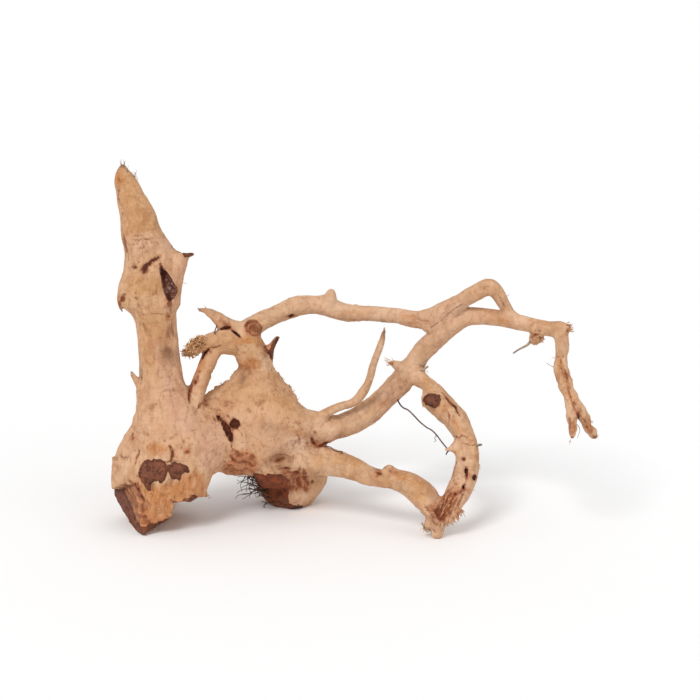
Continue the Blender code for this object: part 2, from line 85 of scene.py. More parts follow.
# ---------------------------------------------------------------- limbs
# name: (front-to-back share, blend in mm, grain family, flute height, stations of u, v, depth, radius)
LIMBS = {
    "stem": (0.86, 8, 0, 0.05, [
        (123, 165.4, 8, 1.7), (122.8, 171.6, 8, 5.8), (124.2, 180, 8, 10.4), (128, 190, 7, 12.6),
        (131.5, 200, 6, 14.6), (135, 210, 5, 16.4), (138, 220, 4, 17.8), (140.2, 230, 3, 19.2),
        (143.4, 240, 2, 21), (147.6, 250, 0, 23), (150.8, 260, -1, 25), (154.4, 270, -2, 26.8),
        (154.6, 280, -3, 27.2), (153.8, 290, -4, 27.2), (154.2, 298, -5, 26.2), (154.2, 305, -5, 23.6),
        (154.8, 312, -6, 22.2), (156.2, 320, -6, 21.2), (157.7, 340, -8, 20.8), (158.7, 355, -9, 21),
        (160.3, 370, -10, 21.8), (161.3, 385, -11, 24), (164, 400, -12, 27.6), (167, 415, -13, 31.8),
        (168.6, 430, -14, 36.6), (169.4, 438, -14, 39), (169.4, 446, -14, 42.2), (167.4, 458, -13, 47.6),
        (164.5, 470, -12, 50.6), (161.5, 482, -10, 50.4), (158, 494, -8, 47)]),
    "knob": (0.9, 7, 1, 0.05, [(143, 280, -4, 20), (136, 289, -6, 18), (134.8, 294.5, -6, 16)]),
    "toe": (1.0, 5, 1, 0.03, [
        (151, 500, -16, 31), (145.5, 514, -26, 21), (142, 526, -35, 12), (141, 533, -41, 6.2)]),
    "base_corner": (1.0, 6, 1, 0.03, [
        (182, 470, -14, 30), (193, 484, -20, 16), (200, 491, -24, 9.6), (205, 495.4, -25, 5), (208.5, 497.6, -25, 2.2)]),
    "base_spur": (1.0, 4, 1, 0.02, [(124, 467, -18, 10), (117, 462, -19, 5), (113.5, 458, -19, 1.8)]),
    "knob_spur": (1.0, 3, 0, 0.02, [(133, 296, -6, 12), (124, 298, -8, 6.5), (121.5, 304, -9, 3.6), (121, 308.5, -9, 1.6)]),
    "side_spike": (1.0, 2.5, 1, 0.02, [
        (168, 267, -2, 15), (176.6, 262.4, -3, 9.4), (183.4, 258.4, -4, 5), (188, 255.8, -5, 2.5), (193, 254.5, -5, 1.4)]),
    "spike_root": (1.0, 5, 1, 0.03, [(165.4, 277, -3, 15), (173.4, 267.6, -4, 10.8)]),
    "stem_twig": (1.0, 4, 1, 0.02, [(147, 398, -16, 7), (140.8, 388, -18, 4.6), (136, 380, -20, 3.2), (132.4, 374.6, -21, 2.2)]),
    "heart": (0.96, 12, 0, 0.03, [
        (246, 336, 20, 12), (250, 349, 21, 15.5), (255, 360, 22, 16.6), (256.5, 369, 22, 17.2),
        (257, 380, 22, 21.6), (257, 395, 20, 30), (258, 410, 17, 36.4), (261, 428, 14, 40),
        (266, 446, 17, 35.4), (275, 461, 26, 30), (283.4, 473, 36, 30), (290, 479.7, 42, 31)]),
    "shoulder": (1.0, 10, 1, 0.04, [
        (252, 404, 18, 25), (234, 406, 13, 19.4), (219, 408.5, 7, 14.6), (206, 412.5, 1, 14), (192, 421, -5, 16)]),
    "saddle": (0.8, 10, 1, 0.04, [(188, 440, -10, 32), (206, 438, -7, 29.6), (224, 440, 0, 29.4), (242, 441, 8, 31.6)]),
    "hump_lump": (1.0, 5, 1, 0.03, [(280, 398, 18, 11), (286.5, 392, 18, 5.2), (290, 396, 17, 4.8)]),
    "hump_edge": (1.0, 5, 1, 0.05, [(246, 387, 20, 12), (232, 388.5, 16, 5.6), (221, 391.5, 13, 5.6), (212, 397, 8, 6.6), (205, 402, 3, 6)]),
    "right_shoulder": (1.0, 10, 1, 0.05, [
        (262, 420, 14, 31.5), (284, 425, 10, 25), (300, 428, 6, 20), (311, 427.6, 4, 16.6), (323, 427, 5, 13.6)]),
    "low_lobe": (1.0, 5, 1, 0.06, [(244, 432, 8, 26), (239, 446, 4, 24), (236, 455, 3, 20)]),
    "lobe_right": (1.0, 4, 1, 0.06, [(250, 452, 4, 15), (251, 460, 6, 11)]),
    "bulb_side": (1.0, 8, 0, 0.03, [(292, 477, 41, 28), (304.5, 473.5, 45, 23.4)]),
    "bulb_low": (1.0, 6, 0, 0.03, [(284, 484, 36, 26), (283, 487.5, 31, 23.4)]),
    "front_ridge": (1.0, 10, 0, 0.06, [(258, 422, -8, 7), (262, 440, -9, 7), (264, 456, -5, 7), (266, 468, 1, 5)]),
    "main": (1.0, 7, 0, 0.06, [
        (312, 428, 4, 14), (325, 429, 5, 12), (337, 426.6, 8, 12), (352, 421, 13, 12.7),
        (361, 416, 16, 12.8), (370, 410.4, 20, 12.5), (385.6, 396.8, 26, 12.1), (400.6, 383, 29, 11.7),
        (411.6, 368.8, 29, 11.4), (420, 354, 27, 10.8), (432, 341.5, 21.6, 10.4), (445, 329.4, 14.5, 10.6),
        (460, 318.6, 8.5, 10.4), (475, 316, 3, 9.2), (490, 317.6, -2, 8), (505, 319.2, -9, 8),
        (520, 322.2, -17, 7.4), (535, 326, -24, 7), (550, 328.5, -31, 7.5), (560, 328.6, -36, 7),
        (566, 328.6, -39, 4.8)]),
    "side_stub": (1.0, 4, 1, 0.06, [(391.2, 362.4, 27, 1.9), (396, 364.8, 25, 4.3), (403, 368, 23, 6.4), (411.6, 372.6, 21, 7.2), (420, 379, 17, 7)]),
    "crook": (1.0, 3, 1, 0.05, [(408, 372, 28, 9), (414.6, 372, 24, 7.2), (419.6, 371.6, 21, 3.2), (422.6, 370, 20, 1.6)]),
    "hanging": (1.0, 3, 1, 0.05, [
        (560, 331, -36, 7), (562.6, 341, -39, 7), (562.2, 350, -41, 6.7), (561.8, 358, -43, 6.6), (560.6, 367, -45, 7.6), (562.4, 375, -47, 7.3),
        (565.2, 383, -49, 7.4), (567.6, 390, -51, 6.7), (570.8, 397, -54, 7.3), (574.4, 407, -57, 8.2)]),
    "prong_left": (1.0, 2, 0, 0.04, [(573, 408, -57, 6.6), (571.4, 416, -59, 5.3), (572, 423, -60, 4.4), (573, 431, -62, 4), (572.8, 436.6, -63, 2.3)]),
    "prong_right": (1.0, 2, 1, 0.04, [(577, 408, -57, 6.6), (583.4, 415.5, -56, 5.9), (586, 421.2, -55, 5.2), (587.6, 427, -54, 4.4), (591.4, 431.6, -53, 4.7), (594, 434.8, -52, 3.9)]),
    "burl": (1.0, 3, 1, 0.05, [(539, 328.6, -25, 7), (537, 335.4, -26, 6.6), (534.4, 339.2, -27, 5), (540.4, 338.4, -27, 3.6)]),
    "arch": (1.0, 4, 1, 0.05, [
        (244, 334, 20, 11), (251, 327, 22, 10.8), (259, 322.4, 26, 10.6), (270, 317.2, 32, 10),
        (285, 311.4, 40, 9.9), (297, 306, 46, 10), (312, 304.4, 51, 9.2), (325, 305.6, 54, 9.2),
        (338, 310.5, 54, 9.2), (352, 313.3, 51, 8.6), (370, 313.7, 45, 7.5), (390, 315.2, 36, 7.9),
        (405, 317.7, 28, 8.2), (420, 319, 20, 8.4), (433, 316.6, 13, 9.2), (447, 309.4, 7, 9),
        (460, 302, 1.6, 8.6), (470, 295.6, -3, 8.3), (479, 290.6, -7, 8.2), (485.6, 287.4, -9, 8.3), (490.8, 287.2, -10, 8),
        (496.2, 291.4, -10, 6.9), (500.4, 297.8, -10, 6), (504.6, 305, -10, 5.5), (508.4, 311.4, -11, 5.4), (513, 318, -12, 5.8)]),
    "arch_spike": (1.0, 4, 0, 0.03, [(327, 305, 53, 8), (330, 299.4, 51, 6.6), (331.4, 293.6, 50, 4.4)]),
    "horn": (1.0, 5, 0, 0.05, [
        (240, 332, 18, 8.5), (230, 326, 15, 7.2), (221.4, 321.4, 12, 7), (214.2, 316, 10, 5),
        (207, 311.5, 8, 3), (200, 309.7, 7, 1.8)]),
    "stub": (1.0, 5, 0, 0.05, [
        (246, 341, 19, 12.5), (232, 341.5, 15, 12), (219, 340.6, 10, 10.2), (208, 342.4, 5, 8.9),
        (200, 346, 1, 6.6), (194, 349, -2, 4.4)]),
    "strut": (1.0, 4, 1, 0.06, [
        (228, 343, 14, 9), (217.8, 346.5, 10, 8.2), (211, 354, 7, 8.6), (206.4, 364, 4, 8.6),
        (202, 375, 0, 8.6), (198.6, 386, -4, 8.9), (196, 396, -8, 9), (193, 405, -12, 9),
        (189, 415, -15, 9)]),
    "neck_twig": (1.0, 3, 1, 0.03, [(268, 360, 20, 4.6), (269.5, 350, 18, 4), (273, 344, 17, 2.8), (277, 338, 16, 2.2)]),
    "neck_lobe": (1.0, 2, 0, 0.03, [(268, 356, 19, 4), (266, 349, 17, 3), (264, 346, 16, 1.8)]),
    "twig": (1.0, 3, 1, 0.04, [
        (308, 423, 0, 9), (320.6, 416.6, -2, 5.8), (332, 410, -1, 4.8), (342, 406, 2, 4.6),
        (351.4, 403.6, 5, 4.6), (359.4, 396.6, 4, 4.6), (366.2, 387, 1, 4.2), (370, 378, -2, 3.6),
        (372.4, 368, -5, 3.4), (375, 360, -7, 3.3), (378.4, 351, -9, 3.3), (381.2, 343, -11, 3.2),
        (382.8, 337, -13, 2.6), (383.2, 332.4, -14, 1.6)]),
    "hook": (1.0, 5, 1, 0.06, [
        (408, 372, 27, 9), (418, 377.8, 20, 6.7), (429.2, 386.2, 12, 7), (436.5, 398.8, 6, 12.2),
        (445.6, 409.2, -2, 12.9), (454.8, 419.2, -9, 11.6), (461.2, 429.8, -15, 10.4), (464.8, 438.2, -19, 10.3),
        (466.6, 450, -25, 12), (467, 462, -30, 11.9), (465.5, 474, -34, 12.5), (461, 486.2, -39, 11.8),
        (455, 498, -43, 11), (449.4, 509, -45, 9.6), (448, 517, -46, 6.8)]),
    "hook_barb": (1.0, 3, 1, 0.02, [(459, 446, -25, 7), (453, 448.2, -28, 3.7), (449, 449.2, -29, 2.0), (445.6, 449.6, -29, 1.2)]),
    "crotch": (1.0, 5, 1, 0.03, [(404, 384, 26, 6.6), (409, 383, 22, 3.4)]),
    "hook_knot": (1.0, 3, 0, 0.02, [(438, 401, 2, 9.6), (430.4, 400.6, -4, 8.2)]),
    "knot_nub": (1.0, 1.5, 1, 0.02, [(428, 398.6, -3, 4), (423.4, 397, -6, 2)]),
    "knot_nub_low": (1.0, 1.5, 1, 0.02, [(429, 404.6, -3, 4), (424, 405, -6, 2.2)]),
    "low": (1.0, 7, 0, 0.06, [
        (272, 450, 12, 26), (290, 455, 6, 20.4), (310, 458.6, -1, 16.4), (326, 461.6, -7, 13.8),
        (342, 465, -12, 12), (357, 470, -17, 10.9), (370, 476.4, -22, 9.3), (382, 478.4, -26, 9.7),
        (391, 478.6, -29, 11.2), (402, 481.4, -33, 12.4), (413.4, 486.6, -37, 13.2), (422.6, 494.8, -41, 12.8),
        (430.4, 506, -44, 11), (435.5, 518, -46, 8.4), (436.8, 527, -47, 7.2), (437.2, 533.2, -47, 6)]),
    "low_ledge": (1.0, 2.5, 1, 0.03, [(391, 476, -29, 9.4), (389.5, 472, -29, 7.6)]),
    "low_spur": (1.0, 2, 1, 0.02, [(432, 521, -45, 6.6), (427, 526, -46, 4), (425, 528.5, -46, 2.4)]),
    "foot_web": (1.0, 3, 1, 0.03, [(435, 506, -42, 7), (446, 508, -43, 7)]),
    "back_stub": (1.0, 8, 1, 0.06, [(262, 424, 34, 22), (268, 416, 48, 13), (271, 411, 57, 9)]),
    "rear_root": (1.0, 8, 1, 0.06, [(168, 450, 6, 26), (165, 468, 20, 17), (165, 484, 31, 12), (170, 496, 37, 7.6)]),
    "back_ridge": (0.9, 9, 1, 0.06, [
        (156, 330, 0, 14), (163, 370, 0, 14), (172, 400, 4, 18), (186, 424, 10, 22), (206, 436, 16, 22), (236, 436, 26, 24)]),
    "right_lip": (0.9, 6, 1, 0.03, [(192, 452, -14, 28), (194, 466, -14, 19.4), (196.5, 477, -16, 12)]),
    "notch_fill": (1.0, 4, 0, 0.04, [(428, 326.6, 16, 6), (440, 324, 13, 7.4), (452, 316, 9, 7.6)]),
}

# Hollows that are open in the wood, as outlines of the drawing: (blend in mm, depth in mm, outline)
HOLES = [
    (1.0, 7, [(160.4, 264), (163, 270.5), (166.4, 273), (171, 279.6), (175.2, 286), (176.4, 290.6), (173.2, 297), (170.4, 301), (168, 299),
                (165.6, 294.4), (164.2, 287), (163, 278), (161, 270)]),
    (0.3, 2.2, [(222.8, 420), (224.6, 421.8), (226.2, 422.2), (227.6, 426.2), (229.6, 428.6), (230.2, 432), (231.8, 434.6), (231.8, 441), (230.2, 440),
                (229.4, 436.6), (227.4, 435), (226.8, 431), (225, 429), (224.4, 425.4), (223, 423.6)]),
    (0.3, 2.4, [(231.2, 423.4), (232.4, 420.6), (233.2, 418.6), (235.2, 419.2), (236.6, 421), (238.4, 422), (238.8, 425), (237.4, 426.2), (236.8, 428.4), (234.6, 427.2),
                (233, 428.8), (232, 426.4)]),
    (0.4, 3, [(217, 415.6), (218.4, 415.4), (221.8, 419.4), (222.4, 421.4), (219.6, 419.6)]),
    (0.6, 2, [(121, 297.6), (123, 297), (124.2, 299), (123, 301.4), (121.2, 301)]),
    (0.5, 2, [(201.6, 359.6), (204, 353.4), (207.6, 348.4), (210, 348), (206.8, 353.2), (203.4, 359.6)]),
    (0.4, 2, [(220.4, 328.4), (224.6, 327.2), (230.6, 327), (230.6, 328.2), (225.6, 329.2), (220.6, 329.6)]),
    (0.4, 2, [(232.4, 330), (235.4, 332), (240, 336.6), (239.4, 337.4), (234.8, 334), (232, 331.2)]),
    (1.0, 2.2, [(433.4, 510.6), (437, 508.6), (441.6, 510.4), (443.6, 514), (444, 519.6), (440.4, 521), (437.2, 517.4), (434.8, 514.6)]),
    (0.4, 2.2, [(465.8, 468.6), (467, 469), (467.2, 473), (466.6, 475.6), (465.6, 474), (465.4, 470)]),
    (0.5, 3, [(462.6, 485.4), (464.6, 484.8), (465.8, 487), (464.6, 490), (462.6, 489)]),
    (0.4, 2.4, [(472.6, 476), (474.6, 475), (476.2, 476.8), (475.4, 479.6), (473, 479.8), (472.2, 478)]),
    (0.4, 1.8, [(290.6, 315), (293.2, 314.8), (294.2, 316), (292, 317.4), (290, 316.8)]),
    (0.4, 1.4, [(444, 393), (448.4, 399), (453.6, 404.4), (456.6, 407.4), (456.8, 411.6), (459.8, 416), (458.4, 417), (454.8, 412.2), (454, 408), (449.6, 404), (445, 398.6)]),
]
# Soft dents, as round hollows along stations.
DENTS = [
    (6.0, [(275, 461.4, -13, 2.6), (281.4, 458.6, -12, 4), (287.4, 460.4, -10.4, 2.6)]),
]

STEP = 0.9
LOW = np.array([-197.0, -70.0, -3.6])
HIGH = np.array([198.0, 70.5, 294.0])
SHAPE = np.ceil((HIGH - LOW) / STEP).astype(int) + 1
FAR = 24.0


def chain_of(stations, steps=5):
    """Points and radii, in mm, on a Catmull-Rom curve through the stations."""
    rows = []
    for u, v, depth, radius in stations:
        place, unit = at(u, v, depth)
        rows.append([*place, radius * unit])
    rows = np.array(rows)
    if len(rows) < 2:
        return np.vstack([rows, rows + [0.01, 0, 0, 0]])
    ends = np.vstack([rows[:1], rows, rows[-1:]])
    out = []
    for i in range(1, len(ends) - 2):
        for k in range(steps):
            t = k / steps
            w = np.array([-t + 2 * t * t - t ** 3, 2 - 5 * t * t + 3 * t ** 3,
                          t + 4 * t * t - 3 * t ** 3, t ** 3 - t * t]) / 2
            out.append(w @ ends[i - 1:i + 3])
    out.append(rows[-1])
    return np.array(out)


def window(low, high):
    a = np.clip(np.floor((low - LOW) / STEP).astype(int), 0, SHAPE - 1)
    b = np.clip(np.ceil((high - LOW) / STEP).astype(int) + 1, 1, SHAPE)
    cut = tuple(slice(i, j) for i, j in zip(a, b))
    axes = [LOW[k] + STEP * np.arange(a[k], b[k], dtype=np.float32) for k in range(3)]
    return cut, axes


def chain_field(chain, share, margin):
    """The distance to one limb, in a box around it."""
    cut, (xs, ys, zs) = window(chain[:, :3].min(0) - chain[:, 3].max() - margin,
                               chain[:, :3].max(0) + chain[:, 3].max() + margin)
    field = np.full((len(xs), len(ys), len(zs)), FAR, np.float32)
    for a, b in zip(chain[:-1], chain[1:]):
        reach = max(a[3], b[3]) + margin
        low, high = np.minimum(a[:3], b[:3]) - reach, np.maximum(a[:3], b[:3]) + reach
        ix = slice(*np.searchsorted(xs, (low[0], high[0])))
        iy = slice(*np.searchsorted(ys, (low[1], high[1])))
        iz = slice(*np.searchsorted(zs, (low[2], high[2])))
        x = xs[ix][:, None, None] - a[0]
        y = (ys[iy][None, :, None] - a[1]) / share
        z = zs[iz][None, None, :] - a[2]
        d = b[:3] - a[:3]
        d = np.array([d[0], d[1] / share, d[2]])
        t = np.clip((x * d[0] + y * d[1] + z * d[2]) / max(d @ d, 1e-9), 0, 1)
        gap = np.sqrt((x - t * d[0]) ** 2 + (y - t * d[1]) ** 2 + (z - t * d[2]) ** 2)
        gap -= a[3] + t * (b[3] - a[3])
        np.minimum(field[ix, iy, iz], gap, out=field[ix, iy, iz])
    return cut, field


def join(a, b, k):
    """The smaller of two distances, with a fillet of about k where they meet."""
    h = np.maximum(k - np.abs(a - b), 0) / k
    return np.minimum(a, b) - h * h * k * 0.25


def carve(a, b, k):
    return -join(-a, b, k)


def plane_through(p, q, r, inside):
    """Signed distance to the plane of three drawing stations, positive away from a point inside."""
    p, q, r, inside = (at(*w)[0] if len(w) == 3 else np.array(w[:3]) for w in (p, q, r, inside))
    normal = np.cross(q - p, r - p)
    normal /= np.linalg.norm(normal)
    if (inside - p) @ normal > 0:
        normal = -normal
    return p, normal


def ground(u, v, depth):
    place = at(u, v, depth)[0]
    return (place[0], place[1], 0.0, 0.0)


CHAINS = {name: chain_of(limb[4]) for name, limb in LIMBS.items()}
field = np.full(SHAPE, FAR, np.float32)
for name, (share, blend, family, flute, stations) in LIMBS.items():
    cut, near = chain_field(CHAINS[name], share, max(blend, 4) + 2)
    field[cut] = join(field[cut], near, blend)

# The broken base: its sides were split off, and the sole is flat.
TIP = ground(142, 537, -46)
SOLE_LEFT, SOLE_RIGHT = ground(127, 518.5, 18), ground(168, 518.5, 18)
MIDDLE = (164, 462, -12)
FACETS = {
    "left_under": plane_through(ground(139.5, 537, -46), ground(124.5, 518.5, 18), (110.5, 487, -14), MIDDLE),
    "right_under": plane_through(TIP, SOLE_RIGHT, (172, 516.5, -46), MIDDLE),
    "left_face": plane_through((113.5, 488, -10), (132.5, 485, -43), TIP, MIDDLE),
    "front_face": plane_through((132, 486, -46.5), (200, 486, -43), TIP, MIDDLE),
}
cut, (xs, ys, zs) = window(np.array([-196.0, -70, -4]), np.array([-95.0, 60, 62]))
gx, gy, gz = np.meshgrid(xs, ys, zs, indexing="ij")
spot = np.stack([gx, gy, gz], -1).reshape(-1, 3)
block = field[cut].reshape(-1)
fu, fv = drawn(spot)
for name, (point, normal) in FACETS.items():
    away = ((spot - point) @ normal).astype(np.float32)
    if name == "left_face":
        away = np.minimum(away + 1.8, (fv - 487.5 + 0.12 * (fu - 122)) * 0.8)
    if name == "right_under":
        away = np.minimum(away, (174.5 - fu) * 0.8)
    if name == "left_under":
        away = np.minimum(away, (fv - 484) * 0.5)
    block = carve(block, -away, 3.0 if name == "front_face" else 1.2)
# The step on the right of the toe: everything right of the toe ends higher up.
step_cut = np.minimum(fu - 172.2 - 0.9 * np.sin(fv * 0.5), fv - 500.6 + 0.14 * (fu - 176) + 0.7 * np.sin(fu * 0.45)) * 0.8
block = carve(block, -np.minimum(step_cut, 60 - np.abs(spot[:, 1])).astype(np.float32), 1.6)
field[cut] = block.reshape(field[cut].shape)

# The cut end of a root on the bulb.
bulb_at, bulb_unit = at(292, 479.5, 42)
BULB_R = 32 * bulb_unit
BULB_N = np.array([-0.42, -0.84, -0.34])
BULB_N /= np.linalg.norm(BULB_N)
cut, (xs, ys, zs) = window(bulb_at - BULB_R - 6, bulb_at + BULB_R + 2)
gx, gy, gz = np.meshgrid(xs, ys, zs, indexing="ij")
spot = np.stack([gx, gy, gz], -1)
away = (spot - bulb_at) @ BULB_N - (BULB_R - 3.4)
away = np.minimum(away, 16 - np.linalg.norm(spot - (bulb_at + BULB_N * BULB_R), axis=-1))
field[cut] = carve(field[cut], -away.astype(np.float32), 1.4)

# The left side of the bulb and the notch right of the base, trimmed along the drawing.
for blend, depths, outline in (
        (3.0, (-10, 66), [(232, 478.6), (250, 477.4), (254.6, 476.4), (258, 483), (261.4, 490), (264.4, 496.6), (269, 502.4), (275, 508), (262, 520), (232, 520)]),
        (1.6, (-60, 60), [(208.6, 500), (206.6, 490.6), (208.6, 484.6), (210.8, 479), (213.6, 474.4), (219, 472.8), (226, 486), (222, 505)])):
    corners = np.array([at(u, v, d)[0] for u, v in outline for d in depths])
    cut, (xs, ys, zs) = window(corners.min(0), corners.max(0))
    gx, gy, gz = np.meshgrid(xs, ys, zs, indexing="ij")
    spot = np.stack([gx, gy, gz], -1).reshape(-1, 3)
    fu, fv = drawn(spot)
    within = np.zeros(fu.shape, bool)
    nearest = np.full(fu.shape, 60.0)
    for a, b in zip(np.array(outline, float), np.roll(np.array(outline, float), -1, axis=0)):
        d = b - a
        t = np.clip(((fu - a[0]) * d[0] + (fv - a[1]) * d[1]) / (d @ d), 0, 1)
        nearest = np.minimum(nearest, np.hypot(fu - a[0] - t * d[0], fv - a[1] - t * d[1]))
        within ^= ((a[1] > fv) != (b[1] > fv)) & (fu < (b[0] - a[0]) * (fv - a[1]) / (b[1] - a[1] + 1e-9) + a[0])
    away = np.where(within, nearest, -nearest) * UNIT
    away = np.minimum(away, np.minimum(spot[:, 1] - SHIFT[1] - depths[0], depths[1] - spot[:, 1] + SHIFT[1]))
    field[cut] = carve(field[cut].reshape(-1), -away.astype(np.float32), blend).reshape(field[cut].shape)

for blend, stations in DENTS:
    cut, near = chain_field(chain_of(stations, 3), 1.0, 8)
    field[cut] = carve(field[cut], near, blend)


def outline_distance(outline, u, v):
    """How far points of the drawing lie inside an outline, in drawing units."""
    outline = np.array(outline, float)
    within = np.zeros(u.shape, bool)
    best = np.full(u.shape, 60.0)
    for a, b in zip(outline, np.roll(outline, -1, axis=0)):
        d = b - a
        t = np.clip(((u - a[0]) * d[0] + (v - a[1]) * d[1]) / (d @ d), 0, 1)
        best = np.minimum(best, np.hypot(u - a[0] - t * d[0], v - a[1] - t * d[1]))
        crosses = ((a[1] > v) != (b[1] > v)) & (u < (b[0] - a[0]) * (v - a[1]) / (b[1] - a[1] + 1e-9) + a[0])
        within ^= crosses
    return np.where(within, best, -best)


def front_at(u, v):
    """The depth at which the drawing's ray first meets the wood."""
    tries = np.arange(-70, 70, 0.5)
    spots = np.array([at(u, v, d)[0] for d in tries])
    hit = np.where(sample(field, spots) < 0)[0]
    return tries[hit[0]] if len(hit) else None


def sample(field, points):
    g = (points - LOW) / STEP
    i = np.clip(np.floor(g).astype(int), 0, np.array(field.shape) - 2)
    f = g - i
    out = 0
    for a in (0, 1):
        for b in (0, 1):
            for c in (0, 1):
                w = (f[:, 0] if a else 1 - f[:, 0]) * (f[:, 1] if b else 1 - f[:, 1]) * (f[:, 2] if c else 1 - f[:, 2])
                out = out + w * field[i[:, 0] + a, i[:, 1] + b, i[:, 2] + c]
    return out


for blend, deep, outline in HOLES:
    middle_u, middle_v = np.mean(outline, axis=0)
    front = front_at(middle_u, middle_v)
    if front is None:
        continue
    corners = np.array([at(u, v, d)[0] for u, v in outline for d in (front - 12, front + deep + 3)])
    cut, (xs, ys, zs) = window(corners.min(0) - 2, corners.max(0) + 2)
    gx, gy, gz = np.meshgrid(xs, ys, zs, indexing="ij")
    spot = np.stack([gx, gy, gz], -1).reshape(-1, 3)
    fu, fv = drawn(spot)
    inward = outline_distance(outline, fu, fv) * UNIT
    beyond = spot[:, 1] - SHIFT[1] - front
    away = np.minimum(inward - 0.12 * np.maximum(beyond, 0), deep - beyond)
    block = field[cut].reshape(-1)
    field[cut] = carve(block, -away.astype(np.float32), blend).reshape(field[cut].shape)

zs = LOW[2] + STEP * np.arange(SHAPE[2], dtype=np.float32)
field = np.maximum(field, -zs[None, None, :])


# ---------------------------------------------------------------- the surface
def surface_of(field):
    """Surface nets: one vertex in each cell that the surface crosses."""
    inside = field < 0
    count = np.zeros(np.array(field.shape) - 1, np.uint8)
    for i in (0, 1):
        for j in (0, 1):
            for k in (0, 1):
                count += inside[i:i + count.shape[0], j:j + count.shape[1], k:k + count.shape[2]]
    cells = np.argwhere((count > 0) & (count < 8))
    number = np.full(count.shape, -1, np.int32)
    number[tuple(cells.T)] = np.arange(len(cells))
    total = np.zeros((len(cells), 3))
    hits = np.zeros(len(cells))
    for axis in range(3):
        b, c = (axis + 1) % 3, (axis + 2) % 3
        for i in (0, 1):
            for j in (0, 1):
                start = cells.copy()
                start[:, b] += i
                start[:, c] += j
                end = start.copy()
                end[:, axis] += 1
                fa, fb = field[tuple(start.T)], field[tuple(end.T)]
                crossed = (fa < 0) != (fb < 0)
                t = np.where(crossed, fa / np.where(crossed, fa - fb, 1), 0)
                place = start.astype(float)
                place[:, axis] += t
                total[crossed] += place[crossed]
                hits[crossed] += 1
    points = total / hits[:, None] * STEP + LOW
    quads = []
    for axis in range(3):
        b, c = (axis + 1) % 3, (axis + 2) % 3
        first = [slice(None)] * 3
        second = [slice(None)] * 3
        first[axis], second[axis] = slice(0, -1), slice(1, None)
        sign = inside[tuple(first)].astype(np.int8) - inside[tuple(second)].astype(np.int8)
        edges = np.argwhere(sign)
        which = sign[tuple(edges.T)]
        ok = (edges[:, b] > 0) & (edges[:, c] > 0)
        edges, which = edges[ok], which[ok]
        corners = []
        for db, dc in ((0, 0), (-1, 0), (-1, -1), (0, -1)):
            cell = edges.copy()
            cell[:, b] += db
            cell[:, c] += dc
            corners.append(number[tuple(cell.T)])
        ring = np.stack(corners, 1)
        ring[which < 0] = ring[which < 0][:, ::-1]
        quads.append(ring)
    return points, np.vstack(quads)


def mesh_from(name, points, faces):
    mesh = bpy.data.meshes.new(name)
    faces = np.asarray(faces, np.int32)
    sides = faces.shape[1]
    mesh.vertices.add(len(points))
    mesh.vertices.foreach_set("co", (np.asarray(points) * 0.001).astype(np.float32).ravel())
    mesh.loops.add(faces.size)
    mesh.loops.foreach_set("vertex_index", faces.ravel())
    mesh.polygons.add(len(faces))
    mesh.polygons.foreach_set("loop_start", np.arange(len(faces), dtype=np.int32) * sides)
    mesh.update(calc_edges=True)
    mesh.validate()
    return mesh


points, quads = surface_of(field)
for _ in range(2):
    here = sample(field, points)
    slope = np.stack([
        sample(field, points + np.eye(3)[k] * STEP * 0.5) - sample(field, points - np.eye(3)[k] * STEP * 0.5)
        for k in range(3)], 1) / STEP
    points -= 0.7 * slope * (here / np.maximum((slope ** 2).sum(1), 0.2))[:, None]
del field

mesh = mesh_from("spiderwood", points, quads)
wood = bpy.data.objects.new("spiderwood", mesh)
bpy.context.scene.collection.objects.link(wood)
# Only the largest body counts: a stray crumb left by a hollow goes.
import bmesh
shape = bmesh.new()
shape.from_mesh(mesh)
shape.verts.ensure_lookup_table()
seen = np.full(len(shape.verts), -1)
sizes = []
for vertex in shape.verts:
    if seen[vertex.index] >= 0:
        continue
    stack, size = [vertex], 0
    seen[vertex.index] = len(sizes)
    while stack:
        one = stack.pop()
        size += 1
        for edge in one.link_edges:
            other = edge.other_vert(one)
            if seen[other.index] < 0:
                seen[other.index] = len(sizes)
                stack.append(other)
    sizes.append(size)
biggest = int(np.argmax(sizes))
bmesh.ops.delete(shape, geom=[v for v in shape.verts if seen[v.index] != biggest], context="VERTS")
bmesh.ops.triangulate(shape, faces=shape.faces)
shape.to_mesh(mesh)
shape.free()
MOST = 190000
if len(mesh.polygons) > MOST:
    fewer = wood.modifiers.new("fewer", "DECIMATE")
    fewer.ratio = MOST / len(mesh.polygons)
    graph = bpy.context.evaluated_depsgraph_get()
    reduced = bpy.data.meshes.new_from_object(wood.evaluated_get(graph))
    wood.modifiers.clear()
    wood.data = reduced
    bpy.data.meshes.remove(mesh)
    mesh = reduced
mesh.name = "spiderwood"
print("wood:", len(mesh.vertices), "vertices,", len(mesh.polygons), "faces, bodies", sizes[:6])


# ---------------------------------------------------------------- noise on points
def lattice(i, j, k, seed):
    h = (i.astype(np.uint32) * np.uint32(374761393) + j.astype(np.uint32) * np.uint32(668265263)
         + k.astype(np.uint32) * np.uint32(2147483647) + np.uint32(seed * 974711 + 13))
    h = (h ^ (h >> np.uint32(13))) * np.uint32(1274126177)
    h = h ^ (h >> np.uint32(16))
    return (h & np.uint32(0xFFFF)).astype(float) / 32767.5 - 1


def noise(p, seed=0):
    """Smooth noise between about -1 and 1."""
    cell = np.floor(p).astype(np.int64)
    f = p - cell
    f = f * f * f * (f * (f * 6 - 15) + 10)
    out = 0
    for a in (0, 1):
        for b in (0, 1):
            for c in (0, 1):
                w = (f[:, 0] if a else 1 - f[:, 0]) * (f[:, 1] if b else 1 - f[:, 1]) * (f[:, 2] if c else 1 - f[:, 2])
                out = out + w * lattice(cell[:, 0] + a, cell[:, 1] + b, cell[:, 2] + c, seed)
    return out


